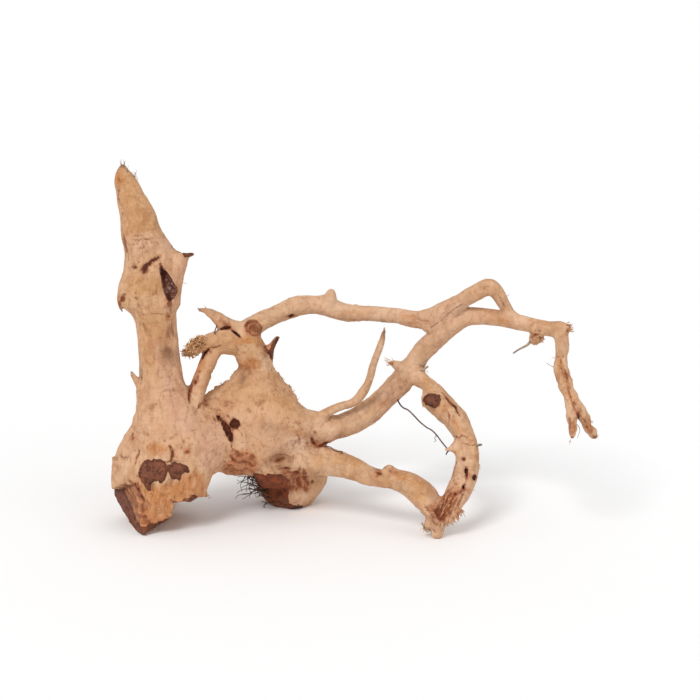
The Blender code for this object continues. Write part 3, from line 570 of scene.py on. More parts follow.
def clouds(p, seed=0, octaves=3, rough=0.5):
    out, weight, total = 0, 1.0, 0.0
    for k in range(octaves):
        out = out + weight * noise(p * 2 ** k + 17.3 * k, seed + k)
        total += weight
        weight *= rough
    return out / total


def rise(a, b, x):
    t = np.clip((x - a) / (b - a), 0, 1)
    return t * t * (3 - 2 * t)


# ---------------------------------------------------------------- where each point of the surface lies on the limbs
def read_points(mesh):
    co = np.empty(len(mesh.vertices) * 3, np.float32)
    mesh.vertices.foreach_get("co", co)
    return co.reshape(-1, 3).astype(float) * 1000


def read_normals(mesh):
    no = np.empty(len(mesh.vertices) * 3, np.float32)
    mesh.vertex_normals.foreach_get("vector", no)
    return no.reshape(-1, 3).astype(float)


P = read_points(mesh)
N = read_normals(mesh)
COUNT = len(P)
gap = {0: np.full(COUNT, 90.0), 1: np.full(COUNT, 90.0)}
next_gap = {0: np.full(COUNT, 90.0), 1: np.full(COUNT, 90.0)}
grain = {0: np.zeros((COUNT, 3)), 1: np.zeros((COUNT, 3))}
round_about = {0: np.zeros(COUNT), 1: np.zeros(COUNT)}
thick = {0: np.full(COUNT, 10.0), 1: np.full(COUNT, 10.0)}
flutes = {0: np.zeros(COUNT), 1: np.zeros(COUNT)}
on_limb = np.full(COUNT, -1)
closest = np.full(COUNT, 90.0)
for index, (name, (share, blend, family, flute, stations)) in enumerate(LIMBS.items()):
    chain = CHAINS[name]
    low, high = chain[:, :3].min(0) - chain[:, 3].max() - 12, chain[:, :3].max(0) + chain[:, 3].max() + 12
    some = np.where(((P > low) & (P < high)).all(1))[0]
    if not len(some):
        continue
    q = P[some]
    best = np.full(len(some), 90.0)
    data = np.zeros((len(some), 5))
    run = 0.0
    along = chain[1, :3] - chain[0, :3]
    side = np.cross(along, [0.3, 1.0, 0.1])
    side /= np.linalg.norm(side)
    for a, b in zip(chain[:-1], chain[1:]):
        d = b[:3] - a[:3]
        length = max(np.linalg.norm(d), 1e-6)
        unit = d / length
        side = side - unit * (side @ unit)
        side /= np.linalg.norm(side)
        other = np.cross(unit, side)
        rel = q - a[:3]
        t = np.clip(rel @ unit / length, 0, 1)
        off = rel - np.outer(t * length, unit)
        off_y = off.copy()
        off_y[:, 1] /= share
        radius = a[3] + t * (b[3] - a[3])
        dist = np.linalg.norm(off_y, axis=1) - radius
        nearer = dist < best
        best[nearer] = dist[nearer]
        data[nearer, 0] = (run + (rel @ unit))[nearer]
        data[nearer, 1] = (off @ side)[nearer]
        data[nearer, 2] = (off @ other)[nearer]
        data[nearer, 3] = np.arctan2(off @ other, off @ side)[nearer]
        data[nearer, 4] = radius[nearer]
        run += length
    closer = best < gap[family][some]
    put = some[closer]
    next_gap[family][some] = np.minimum(next_gap[family][some], np.maximum(best, gap[family][some]))
    gap[family][put] = best[closer]
    grain[family][put] = data[closer, :3] + index * 37.0
    round_about[family][put] = data[closer, 3]
    thick[family][put] = data[closer, 4]
    angle, s = data[closer, 3], data[closer, 0]
    phase = index * 1.7
    wave = (0.9 * np.cos(2 * angle + phase + s * 0.021) + 0.8 * np.cos(3 * angle + 2.1 * phase - s * 0.033 + 0.7 * np.sin(s * 0.06))
            + 0.55 * np.cos(5 * angle + 3.3 * phase + s * 0.045 + 0.8 * np.sin(s * 0.09 + 1))
            + 0.3 * np.cos(8 * angle + phase * 4.7 - s * 0.05 + 0.9 * np.sin(s * 0.11)))
    flutes[family][put] = wave * flute * data[closer, 4] * 0.5
    near = best < closest[some]
    on_limb[some[near]] = index
    closest[some[near]] = best[near]

share_b = rise(-3.5, 3.5, gap[0] - gap[1])
radius = thick[0] * (1 - share_b) + thick[1] * share_b
# Where one limb's grain gives way to the next, neither is drawn.
seam = {k: rise(3.6, 0.4, next_gap[k] - gap[k]) for k in (0, 1)}
flute = flutes[0] * (1 - seam[0]) * (1 - share_b) + flutes[1] * (1 - seam[1]) * share_b
slim = rise(1.2, 9.0, radius)

# Lumps, flutes and the growth wrinkles, along the normals.
U, V = drawn(P)
facing = -((P - EYE_AT) * N).sum(1) / np.linalg.norm(P - EYE_AT, axis=1)
lumps = clouds(P / 30, 1, 2) * 1.5 * slim + clouds(P / 13, 5, 2) * 0.75 * (0.25 + 0.75 * slim)
lumps += clouds(P / 9.5, 7, 2) * 0.55 * rise(1.0, 3.0, radius) * rise(16, 8, radius)
fine = clouds(P / 5.2, 9, 2) * 0.32 * (0.4 + 0.6 * slim)
# Growth wrinkles that run across the grain, as low ripples that come and go.
across = grain[0][:, 0] * (1 - share_b) + grain[1][:, 0] * share_b
plain_here = (1 - seam[0]) * (1 - share_b) + (1 - seam[1]) * share_b
ripple = clouds(np.stack([across / 2.6, P[:, 0] / 13, P[:, 1] / 13], 1), 230, 2) * rise(0.0, 0.5, clouds(P / 21, 240, 2)) * plain_here
fine += 0.42 * ripple * rise(4, 10, radius) * rise(40, 30, radius)
sole = rise(0.6, 5.0, P[:, 2])
split = np.zeros(COUNT)
for name in ("left_face", "front_face", "left_under", "right_under"):
    point, normal = FACETS[name]
    flat = np.abs((P - point) @ normal)
    split = np.maximum(split, rise(3.4, 1.0, flat) * rise(0.80, 0.93, N @ normal) * (P[:, 0] < -100) * (P[:, 2] < 60))
torn = clouds(P / np.array([1.7, 1.7, 11.0]), 21, 3) * 0.75
move = (lumps + flute) * (1 - 0.8 * split) + fine + torn * split


# ---------------------------------------------------------------- marks drawn on the wood
def visible(low=-80, high=80, grazing=0.12):
    """How surely a point belongs to the front, where a mark is drawn: 0, or below 0 off it."""
    gone = np.where((P[:, 1] < low) | (P[:, 1] > high), 30.0, 0.0)
    return -gone - 14 * np.maximum(grazing - facing, 0)


def oval(u, v, ru, rv, turn=0.0, **where):
    c, s = math.cos(math.radians(turn)), math.sin(math.radians(turn))
    du, dv = U - u, V - v
    a, b = du * c + dv * s, -du * s + dv * c
    return np.maximum((1 - np.hypot(a / ru, b / rv)) * min(ru, rv) * UNIT + visible(**where), -12)


def stroke(path, width, taper=True, **where):
    """Distance inside a drawn line. Its width is in drawing units."""
    path = np.array(path, float)
    best = np.full(COUNT, 60.0)
    steps = len(path) - 1
    for i, (a, b) in enumerate(zip(path[:-1], path[1:])):
        d = b - a
        t = np.clip(((U - a[0]) * d[0] + (V - a[1]) * d[1]) / (d @ d), 0, 1)
        gone = np.hypot(U - a[0] - t * d[0], V - a[1] - t * d[1])
        part = (i + t) / steps
        thin = 1.0 if not taper else 1 - 0.75 * np.abs(2 * part - 1) ** 2.5
        best = np.minimum(best, gone - width * 0.5 * thin)
    return np.maximum(-best * UNIT + visible(**where), -12)


def patch(outline, **where):
    """Distance inside a drawn outline."""
    return np.maximum(outline_distance(outline, U, V) * UNIT + visible(**where), -12)


def most(*fields):
    return np.maximum.reduce(fields)


LEFT = dict(high=10)
BARK_ONE = [(141, 464), (143.6, 461.4), (149, 459), (156, 459), (162, 460), (166.4, 463.4), (168.2, 469), (167.4, 475), (165, 480.4), (162.6, 484.4),
            (160.4, 484), (159.4, 480.6), (156.6, 481.6), (154, 482.6), (151.6, 485), (150.8, 491), (149, 492), (146.6, 489), (144.6, 485),
            (141.6, 481.6), (138.4, 477), (138, 472), (139.4, 467.6)]
BARK_TWO = [(167.8, 465.6), (171, 463), (177, 461.8), (181.4, 463), (185.6, 464.4), (188, 467.6), (190, 471.6), (187, 473), (184.6, 471),
            (183.6, 473.6), (181.6, 476.6), (180.4, 481), (178, 481.6), (176.4, 478.6), (174.6, 481), (172, 480.4), (170, 477.6), (168.2, 472)]
BULB_FACE = [(254, 473.8), (266, 473.2), (276, 474), (281, 473.6), (285.4, 476), (290, 479), (286.4, 483.6), (292, 487.4), (286.6, 491), (290.6, 496), (284.6, 499.4), (287, 503.4), (296, 505.8),
             (302, 504.6), (304, 508), (294, 513), (278, 514), (266, 508), (256, 498), (250, 484)]
bark = most(
    patch(BARK_ONE, **LEFT), patch(BARK_TWO, **LEFT),
    patch([(181, 499), (185, 496.6), (189, 494.4), (192.4, 492.4), (195, 494), (198.6, 496.6), (202, 499.6), (198, 505), (186, 505), (180, 503)], **LEFT) - 0.5,
    patch([(181, 252.8), (186, 251.4), (194, 252.8), (192.6, 256.4), (184.6, 257.2)]) - 0.1,
    patch([(112, 489.6), (116, 488), (121, 487.6), (126, 489), (127.6, 495), (130.4, 503), (134.6, 512), (138.6, 519), (141, 525), (145.6, 525.4), (151, 524.6), (158, 521), (166, 516.8), (172, 515),
           (170, 520), (162, 527), (152, 532), (144, 539), (138, 537), (126, 520), (116, 503)], **LEFT) - 0.5,
    oval(432.6, 400.4, 8.2, 6.8, -8, high=20) + 0.1,
    patch(BULB_FACE, low=-10),
    patch([(262.6, 345), (265, 345.6), (268.6, 350), (271, 347), (274, 340), (277, 336.6), (279, 338), (277, 344), (273.6, 351), (272.4, 361), (270, 358), (265.4, 351.6)], high=60),
)
red_bark = patch([(244, 462), (310, 462), (310, 500), (286, 503), (266, 500), (244, 492)], low=-10)
cave = most(
    patch([(160.4, 262), (163, 270), (166.6, 272), (172, 280), (177.6, 288.4), (177.4, 291.6), (174, 298), (170.6, 303), (167, 299.6), (163.6, 292), (161.6, 282)], high=6),
)
rust = most(
    patch([(112, 488), (122, 486), (130, 486), (136, 484), (141, 494), (146, 506), (147, 518), (150, 526), (144, 538), (128, 522), (118, 506)], **LEFT),
    patch([(222, 463), (229, 461), (232, 456), (230, 451), (238, 449), (247, 451), (256, 455), (259, 463), (257, 472), (246, 476), (236, 477), (224, 473)], high=30),
    patch([(280, 466), (286, 465), (292, 468), (299, 465.6), (304, 470), (308, 476), (311, 483), (309.6, 490), (305, 492), (302, 488), (298, 493), (294, 490), (290, 495),
           (286, 489), (284, 481), (280, 474)], low=-10),
    oval(252.5, 329, 9.5, 8.4, high=40),
    patch([(134, 510), (146, 519), (158, 520), (168, 513), (172, 515), (170, 520), (158, 529), (143, 539), (132, 520)], **LEFT) - 0.6,
    patch([(432, 506), (444, 500), (452, 489), (458, 484), (464, 488), (462, 496), (456, 506), (450, 518), (444, 522), (436, 518)]) - 1.2,
    oval(131, 437, 2.6, 4, **LEFT), oval(187, 450.5, 3, 3, **LEFT), oval(169.5, 306, 3.4, 5, **LEFT), oval(168, 317, 3.4, 4, **LEFT),
    oval(576.6, 411, 4, 5.6), oval(566, 377, 2.6, 6, -20), oval(568, 386, 4, 12, -20) - 2.4, oval(575, 404, 5, 8) - 2.0, oval(572, 428, 3.6, 10) - 1.2,
    oval(589, 427, 4, 10, -32) - 1.2, oval(441, 515, 5, 7) + 0.4, oval(433, 508, 5, 6), oval(439, 513, 7, 9), oval(453, 496, 9, 4.6, -38), oval(446, 508, 4, 10, 24),
    oval(443, 498, 6, 4, -40) - 0.6, oval(468, 476, 3, 7) - 0.6, oval(466, 489, 4, 4) - 0.6,
    oval(318, 443.6, 9, 3.6, 0, high=10), oval(219, 417, 5, 4), oval(228, 430, 5, 12, -14) - 1.0, oval(378, 472.5, 3, 3.4), oval(195, 381, 3, 3.4),
    oval(226, 324, 7, 3, 25), oval(167, 299, 5, 5, **LEFT) - 1.0, oval(457, 484, 3, 3) - 0.4,
    oval(118, 300, 3, 6, 10, **LEFT) - 0.3, oval(205, 402, 3, 4) - 0.3, oval(268, 350, 4, 7) - 0.2,
)
heart = most(
    patch([(140, 482), (150, 486), (160, 484), (168, 481), (176, 481), (184, 474), (194, 468), (203, 474), (205, 490), (202, 503), (180, 503), (174, 512), (173, 520),
           (146, 536), (141, 520), (146, 504), (141, 494), (136, 484)], **LEFT),
    oval(156, 449, 15, 7, **LEFT) - 0.4, oval(252, 364, 15, 8, high=40) - 1.6, oval(410, 317, 20, 6, 6) - 1.9,
    oval(119.5, 179, 5, 9) - 0.6, oval(244, 341, 18, 8) - 2.6, oval(196, 366, 10, 24, 24) - 2.2, oval(188, 494, 12, 6, **LEFT),
    oval(561, 366, 8, 26, -6) - 4.4, oval(571, 398, 8, 22, -24) - 4.0, oval(590, 424, 5, 14, -32) - 2.4,
    oval(300, 434, 14, 7, 10) - 1.6, oval(402, 476, 22, 7, 24) - 2.2, oval(456, 425, 6, 20, -34) - 2.2, oval(384, 402, 14, 6, -46) - 2.6,
    oval(344, 312, 30, 4, 4) - 1.6, oval(506, 322, 22, 5, 8) - 2.0,
)
ochre = most(
    patch([(112, 170), (134, 168), (165, 236), (124, 236)], high=40) * 0.5, oval(147, 287, 20, 12) * 0.6, oval(157, 340, 17, 50, -4) * 0.34, oval(402, 482, 30, 12, 24) * 0.9, oval(345, 467, 30, 12, 14) * 0.7, oval(420, 492, 14, 12, 40) * 0.7,
    patch([(215, 378), (300, 378), (312, 420), (286, 440), (250, 410), (215, 400)], high=60) * 0.12, oval(470, 430, 16, 40, -20) * 0.2,
    oval(240, 345, 30, 14) * 0.3,
)
# Cracks, holes and pits: sunk a little into the wood and painted dark inside, the dark partly painted shade of their
# depth.
pits = most(
    stroke([(160.4, 256), (156.4, 258.4), (151.4, 261), (147.6, 264)], 2.4) + 0.1, stroke([(150.6, 261.6), (147, 264.8), (144.6, 266.4), (140.6, 269.6)], 2.9) + 0.1,
    oval(148.4, 264.4, 2.4, 1.5, -40), oval(145.4, 271.6, 2.6, 1.5, -18), oval(135, 266.8, 1.4, 1.1),
    stroke([(169, 293), (170, 298), (171, 301)], 1.4, high=8) - 0.2, stroke([(175.4, 287), (175, 292), (172.4, 298)], 1.0, high=8) - 0.1,
    stroke([(161, 264), (163, 270), (164.6, 278), (165.6, 288)], 1.2, high=8),
    stroke([(169.6, 446), (172, 450), (172.6, 455), (171, 460), (168.8, 462.6)], 1.5, **LEFT),
    stroke([(133.6, 485), (138, 491), (142, 498), (145, 504)], 1.7, **LEFT),
    patch([(230.8, 423.6), (232.2, 420.4), (233, 418), (235.4, 418.8), (236.8, 420.6), (238.8, 421.6), (239.4, 425), (237.8, 426.4), (237, 428.8), (234.6, 427.4), (233, 429.6), (231.6, 426.6)], high=30),
    patch([(222.4, 418.8), (224.6, 421.4), (226.4, 421.8), (227.8, 426), (230, 428.4), (230.6, 432), (232.2, 434.6), (232.2, 442), (230, 440.4), (229.2, 436.8), (227, 435.4), (226.4, 431.2), (224.6, 429.4),
           (224, 425.6), (222.4, 424)], high=30) + 0.1,
    stroke([(232, 458.6), (235.6, 463)], 1.4, high=30) - 0.1,
    stroke([(311.6, 438.6), (313.4, 443), (316.6, 445.2)], 2.0, high=20) - 0.1, stroke([(317, 445.4), (322, 445.6), (327, 443)], 1.6, high=20) - 0.1,
    stroke([(202.6, 358.6), (204.8, 354), (208.4, 349)], 1.6, high=30),
    stroke([(221, 328.8), (226, 328.2), (230.4, 327.7)], 1.4, high=40), stroke([(232.6, 331), (236, 333.6), (239.6, 336.8)], 1.3, high=40),
    stroke([(245, 327), (247, 323.8), (251, 321.8)], 1.3, high=40) - 0.1,
    oval(292, 316, 1.5, 0.8, high=80, grazing=-0.4),
    stroke([(190.4, 386), (190.2, 394), (189, 402)], 1.3, grazing=-0.2) - 0.1, oval(194.4, 381.6, 1.2, 1.4),
    stroke([(445.6, 396.6), (449.6, 401.4), (454, 405.4), (455.8, 409)], 1.3), stroke([(455.8, 409), (456.4, 412), (459.2, 416.4)], 1.0),
    oval(463.6, 459, 1.0, 1.2), oval(466.3, 471, 1.2, 2.6), oval(466.8, 475.6, 1.1, 1.5), oval(463.8, 487.2, 1.3, 1.7), oval(474.2, 477.4, 1.8, 2.2, grazing=-0.1),
    oval(455, 494.6, 1.6, 1.1, -30), stroke([(438, 512), (440.4, 515.4), (441.4, 519.4)], 2.2),
    oval(296, 472.8, 1.8, 1.0), oval(286.4, 468.6, 1.8, 1.0), oval(300, 484.6, 1.2, 1.8, 10) - 0.1, oval(312.4, 481.8, 1.0, 1.0),
    stroke([(577.4, 413.6), (578.6, 417.6)], 1.5), oval(378.6, 473, 1.8, 1.0, 20), oval(186.4, 452, 1.2, 0.9, **LEFT),
    oval(535, 334.6, 1.3, 0.9) - 0.2, stroke([(275.2, 461.2), (279.2, 460), (284, 458.2)], 1.5, high=20) - 0.1,
)
# Cracks, scars and torn fibres that show red-brown.
scars = most(
    stroke([(160.4, 256), (155.6, 259), (150, 262.4), (144, 267), (139, 270.6)], 3.0) - 0.3, oval(134, 267, 2.2, 1.6), oval(138.6, 262.6, 1.4, 1.2), oval(146.4, 271.4, 3.4, 1.6, -18),
    stroke([(159.6, 258), (161, 264), (163.4, 272)], 1.2), oval(122.3, 299, 2.6, 3.4) + 0.2, oval(119.6, 303.4, 2, 3), oval(124, 294.6, 1.6, 1.2),
    oval(170, 303.6, 2.8, 3.4, **LEFT), oval(168.6, 316.6, 3.4, 3.6, **LEFT) - 1.4, oval(171, 309, 1.4, 4, **LEFT) - 0.3,
    stroke([(124.4, 234), (124.8, 243), (126.4, 253)], 3.4, grazing=-0.6), oval(122.4, 213, 1.3, 2.4, grazing=-0.4) - 0.5, oval(121, 205, 1.2, 2.4, grazing=-0.4) - 0.4,
    stroke([(163.6, 440), (167.4, 443.2), (171, 447.2), (173, 453), (172.4, 459), (169, 463.4)], 1.7, **LEFT),
    stroke([(137.4, 446), (138.6, 452), (136, 458), (135.4, 462), (132.6, 467)], 2.0, **LEFT), stroke([(131.6, 432), (131.4, 438), (129.6, 441)], 1.9, **LEFT),
    stroke([(127, 479), (132, 483), (137, 488.6), (141.6, 495), (146, 505), (147.6, 513)], 2.0, **LEFT), stroke([(129, 484), (136, 483.4), (139.6, 486)], 1.4, **LEFT),
    stroke([(222, 417.6), (225, 423), (228.6, 430), (231.8, 442)], 5.0, high=30), oval(235.2, 423.6, 5.2, 5.4, 20, high=30), stroke([(230.6, 441), (231.6, 447), (232.8, 452)], 1.6, high=30),
    stroke([(215.6, 412.6), (218, 416.4), (219.4, 421)], 1.5, high=30), stroke([(221.4, 414), (223.4, 418), (223.6, 421)], 1.3, high=30),
    stroke([(226.6, 414.6), (229, 418), (231, 420)], 1.3, high=30), stroke([(212.6, 415), (215, 418.6), (216, 422)], 1.1, high=30), stroke([(238, 430), (242, 434), (241, 438)], 1.0, high=30),
    stroke([(229.6, 455.4), (233, 459), (237, 464.6)], 3.0, high=30), stroke([(224, 461), (228, 464.6), (233, 466)], 2.0, high=30), stroke([(240, 455), (244.6, 459.6), (243, 464)], 2.2, high=30),
    stroke([(247, 461), (251, 465.4), (256, 466)], 2.0, high=30), stroke([(234, 450), (238, 453.4), (237, 458)], 2.0, high=30), stroke([(250, 453), (254, 457), (253, 461)], 1.8, high=30),
    oval(239, 470, 3, 1, high=30), oval(246, 453.4, 2.2, 0.9, high=30), oval(231, 471.6, 2, 1, high=30),
    stroke([(302, 429), (304.4, 433), (303, 437.6)], 1.2, high=20), stroke([(312.6, 430.4), (316.6, 434), (318.6, 438.6)], 1.4, high=20), stroke([(306, 424.4), (311, 428), (315, 427.4)], 1.1, high=20),
    stroke([(310.4, 436), (313.4, 443.4), (319, 446.4), (324, 445), (328.4, 441.4)], 3.2, high=20), stroke([(297, 434.6), (300, 439), (299, 442)], 0.9, high=20),
    stroke([(303.6, 437.4), (307.4, 441.4), (308.4, 446)], 1.2, high=20),
    stroke([(209, 347.4), (214, 348), (219, 346.6), (223.6, 342)], 1.5), stroke([(209.6, 350.6), (211.4, 353)], 1.3), stroke([(201, 361), (204.6, 354), (209, 347.6)], 2.4, high=30),
    stroke([(219, 329.4), (226, 328), (231.6, 327)], 2.4, high=40), stroke([(231, 329), (236, 333.4), (241, 338)], 2.0, high=40),
    stroke([(244.2, 331), (245.4, 325.6), (249, 321.8), (255, 321), (259.4, 323.4)], 2.8, high=40), stroke([(248.6, 332), (253.6, 336), (260, 334.6)], 2.0, high=40),
    stroke([(249, 331.6), (250.4, 327), (254, 325.6), (257.6, 329)], 2.2, high=40), stroke([(258.6, 323.6), (261.4, 328), (260, 333)], 2.6, high=40), stroke([(252.6, 330), (256, 331.6)], 1.8, high=40),
    oval(253.6, 327.6, 6.6, 5.4, high=40) - 3.2, stroke([(246.6, 333), (246, 327), (249.4, 323.4)], 2.4, high=40) - 0.3,
    oval(292, 315.6, 3.2, 1.6, high=80, grazing=-0.4), stroke([(284, 318), (292, 315.4)], 0.9, high=80, grazing=-0.3),
    stroke([(190.8, 380), (190.6, 392), (189, 405)], 2.2, grazing=-0.2), oval(194.4, 381.6, 2.4, 2.2), oval(199, 371, 1.6, 1.4), oval(197.6, 377, 1.4, 2.4, 20),
    stroke([(196.6, 409.6), (200.6, 404.4), (205, 401)], 1.7), stroke([(442, 391), (446.6, 397.6), (451, 402.4), (455.4, 406.4), (456.4, 411.6), (460, 417)], 1.7),
    stroke([(446.6, 409.6), (449, 414), (449.8, 420), (448.6, 425)], 1.3), stroke([(455, 436), (459.6, 438.4), (463, 434.6)], 2.0), stroke([(462.6, 436), (467.6, 438.6)], 1.7),
    stroke([(463, 443), (470, 445.4), (476, 445.2)], 1.4), oval(463.6, 459, 1.7, 2.0), stroke([(465.6, 466), (466.8, 473), (466.2, 481)], 2.6), oval(463.6, 487.4, 2.2, 2.8),
    stroke([(466, 481), (464, 486), (461, 491), (457, 495)], 1.9), oval(474.2, 477.4, 2.7, 3.2, grazing=-0.1), stroke([(457.6, 461), (455, 470), (450.6, 479)], 0.9),
    stroke([(454, 480), (456.6, 485), (450, 491), (446.4, 496)], 1.2), stroke([(451, 487), (446, 494), (441.4, 500)], 1.3), stroke([(461, 492.5), (455, 495), (451.4, 499), (449, 505)], 1.9),
    stroke([(458.6, 496), (454, 503), (450.6, 511), (449.4, 519)], 1.5), stroke([(461.6, 495), (457.6, 503), (454.4, 512)], 1.1), stroke([(448, 497), (443.6, 504), (442, 510)], 1.6),
    stroke([(455.4, 497), (450, 504), (446.6, 512), (445, 520)], 1.6), stroke([(464, 491), (460.6, 500), (457, 508)], 1.0), stroke([(452, 493), (447, 500), (443.6, 508)], 1.3),
    patch([(432.6, 510.6), (436, 508), (443, 509.4), (446, 514.4), (445, 521.6), (440.4, 522), (436.6, 518)]) + 0.6, stroke([(427, 509.6), (431, 510.6), (434, 513)], 1.8),
    oval(279.6, 460, 3.4, 1.2, -14, high=20) - 0.5, stroke([(196, 411), (199, 406.4), (201.6, 402.6)], 2.6) - 0.1,
    stroke([(428.6, 508.4), (432, 514), (434.4, 520)], 1.8), stroke([(430, 516), (434.6, 523), (438, 526)], 1.4), stroke([(424.4, 504), (430, 511), (433, 517)], 1.2),
    stroke([(441, 521), (440, 526), (441.4, 531)], 1.0), stroke([(432, 528), (436, 531.6), (440, 530.6)], 1.1),
    oval(304.4, 474.6, 2.3, 6, -10), oval(295, 473.4, 4.6, 2.0), oval(290.6, 487, 3.6, 3, 30), oval(298, 481, 3, 6, 10) - 0.6, oval(306, 489, 2, 3.6), oval(299.4, 470, 1.6, 2.8), oval(286.4, 468.4, 3, 1.6), oval(289, 484, 2.8, 1.8, 30), oval(300, 484.6, 2, 3.4, 10),
    oval(284, 478.6, 2, 2), oval(293, 479, 1.4, 3.4, 12), oval(307.6, 484, 1.4, 4.4, -8), oval(296.4, 489, 1.1, 2.8), oval(281, 468.6, 3, 1.0),
    stroke([(565, 369), (567.6, 376), (566.6, 384)], 1.5), stroke([(567, 388), (570, 394), (570.6, 399)], 1.3), stroke([(576, 411), (578.6, 418.4)], 2.4), stroke([(571, 400), (573.6, 407), (575.6, 411)], 1.5),
    stroke([(579, 413.6), (584.6, 420), (586.6, 426.6), (591, 433)], 1.7), stroke([(588.4, 418), (591.6, 423), (590.4, 427)], 1.3), stroke([(569.6, 416), (570.6, 424), (569.6, 431)], 1.3),
    stroke([(573.6, 421), (574.4, 428), (573, 434)], 1.2), oval(571.6, 438, 1.6, 2.0), oval(594.6, 436.6, 2.2, 1.6), oval(560.4, 360, 1.2, 2.6, -10), stroke([(558.6, 364), (563, 371)], 1.1),
    oval(378.6, 473, 2.9, 1.7, 20), stroke([(387.6, 466.6), (391.4, 472.6)], 1.3), stroke([(381.6, 468), (386.4, 466)], 1.0),
    oval(186.8, 451.4, 2.2, 1.6, **LEFT), oval(183, 441, 1.2, 1.8, **LEFT), stroke([(178, 444), (182.6, 449), (189, 454), (188, 459)], 1.1, **LEFT),
    oval(535, 334.6, 2.6, 1.5), oval(540, 338, 1.8, 1.2), oval(531.6, 337, 1.4, 1.8), oval(570.6, 325, 1.8, 3.4), oval(567.6, 331, 1.6, 1.6),
    stroke([(498, 294), (502, 301), (505.6, 308)], 1.1), stroke([(430, 328), (437, 323), (446, 316), (454, 309.6), (462, 304.6)], 0.9), stroke([(412, 315), (420, 320), (428, 321)], 0.9),
    stroke([(118, 186), (117.6, 196), (120, 206)], 1.6, grazing=-0.5) - 0.1, oval(118.6, 178.6, 2, 5, 8, grazing=-0.2) - 1.1,
)
# Umber: dark brown spots, the dent's dark core with painted shade round it, painted shade in the strut's groove,
# painted shade along the low limb, and a broad darker tone over the stem and the heart.
umber_and_shade = most(
    oval(279.6, 460, 7.6, 4, -16, high=20) * 1.5 + 0.3, np.minimum(oval(285, 453, 16, 8, -35, high=20) * 0.6, -0.3), np.minimum(oval(278.6, 462, 15, 8, high=20), 0.5),
    np.minimum(stroke([(330, 462), (360, 468), (395, 478), (424, 492)], 22) * 0.8, -0.95), np.minimum(oval(142, 250, 40, 120, **LEFT) * 0.3, -1.15), np.minimum(oval(262, 420, 56, 54, high=60) * 0.3, -1.25),
     oval(283, 465, 17, 6, 0, high=20) * 0.5 - 1.2, oval(253.8, 328, 7.4, 6.2, high=40) - 0.6, oval(278, 466, 14, 5, high=20) - 1.8,
    oval(230.5, 434, 5, 9, -14, high=30) - 1.6, oval(143.6, 531, 5, 4, **LEFT) - 0.4, oval(128, 494, 7, 8, **LEFT) - 2.0, oval(205, 352, 4, 3, high=30) - 0.8, oval(207, 417, 5, 3, 20, high=30) - 1.0,
)
# Painted light on the lower face of the bulb, which faces down away from the light, to even it with the face above.
low_face_light = patch([(248, 489.4), (270, 490.2), (287, 491), (285, 500), (264, 501), (254, 497)], low=-10)
# Darker along the bottom edges of the bulb and the base, dark bark and painted shade near the floor, and a darker ring
# round the knot.
dark_lip_and_shade = most(stroke([(266, 504), (274, 509.6), (288, 511), (300, 508), (309, 503.6)], 6, low=-10, grazing=-0.9), np.minimum(oval(432.6, 400.4, 11, 10, -8, high=20), -0.1),
           np.minimum(stroke([(124, 516), (134, 528), (143, 537), (158, 527), (172, 518)], 9, **LEFT), -0.1))
mauve = most(
    patch([(206, 420), (222, 416), (224, 440), (222, 466), (206, 472), (196, 468), (196, 440)], high=10) * 0.5,
    patch([(150, 340), (176, 340), (182, 386), (200, 418), (200, 440), (178, 436), (158, 400)], high=10) * 0.3,
    oval(390, 392, 16, 10, -50) * 0.5,  oval(152, 245, 24, 12) * 0.3, oval(188, 270, 12, 14) * 0.4,
    oval(450, 312, 22, 8, -30) * 0.4,
)
smudge = most(oval(168, 354, 12, 8) * 0.6, oval(243, 379, 4.6, 12, 15) * 0.7, oval(171, 360, 9, 6) * 0.4, oval(247, 371, 7, 4) * 0.3,
              oval(266, 353, 4, 9) * 0.5, oval(273, 341, 4, 7, 30) * 0.9, oval(129, 376, 4, 7) * 0.7, oval(208, 309, 12, 4, 10) * 0.3, oval(199, 310, 6, 4) * 0.8,
              oval(190, 254.6, 6, 3) * 1.6 + 0.6, oval(384, 331, 4, 12) * 0.9, oval(426, 368, 4, 4) * 1.6 + 0.4, oval(309, 437, 8, 14, -20) * 0.2, oval(270, 427, 16, 5, 14) * 0.2,
              oval(122, 164.6, 5, 3.6) * 1.2 + 0.2, oval(121, 308, 3, 3) * 0.9, oval(208.6, 497.6, 3, 3) * 0.9, oval(114, 458, 3, 3) * 0.9, oval(596, 437, 3, 3) * 0.6)
# Pale: a painted highlight on the rounded bulge where the low branch starts, painted light along the arch and the main
# branch, a pale tan patch low on the bulb and small pale spots.
pale = most(np.minimum(stroke([(270, 314), (300, 303), (330, 302), (380, 313), (425, 317)], 22) * 0.8, 0.5), np.minimum(stroke([(330, 434), (372, 412), (404, 372), (440, 330), (470, 312)], 24) * 0.8, -0.4), oval(296, 443, 15, 10, 20) * 0.42, oval(302, 496, 10, 6, low=-10) * 0.4, oval(436.5, 323.5, 4, 1.6, -30), oval(429, 328, 1.8, 2.6), oval(466, 455, 6, 10) * 0.2,
            oval(244, 445, 6, 5) * 0.4, oval(455, 447, 6, 3) * 0.4, oval(240, 418, 5, 3) * 0.4)

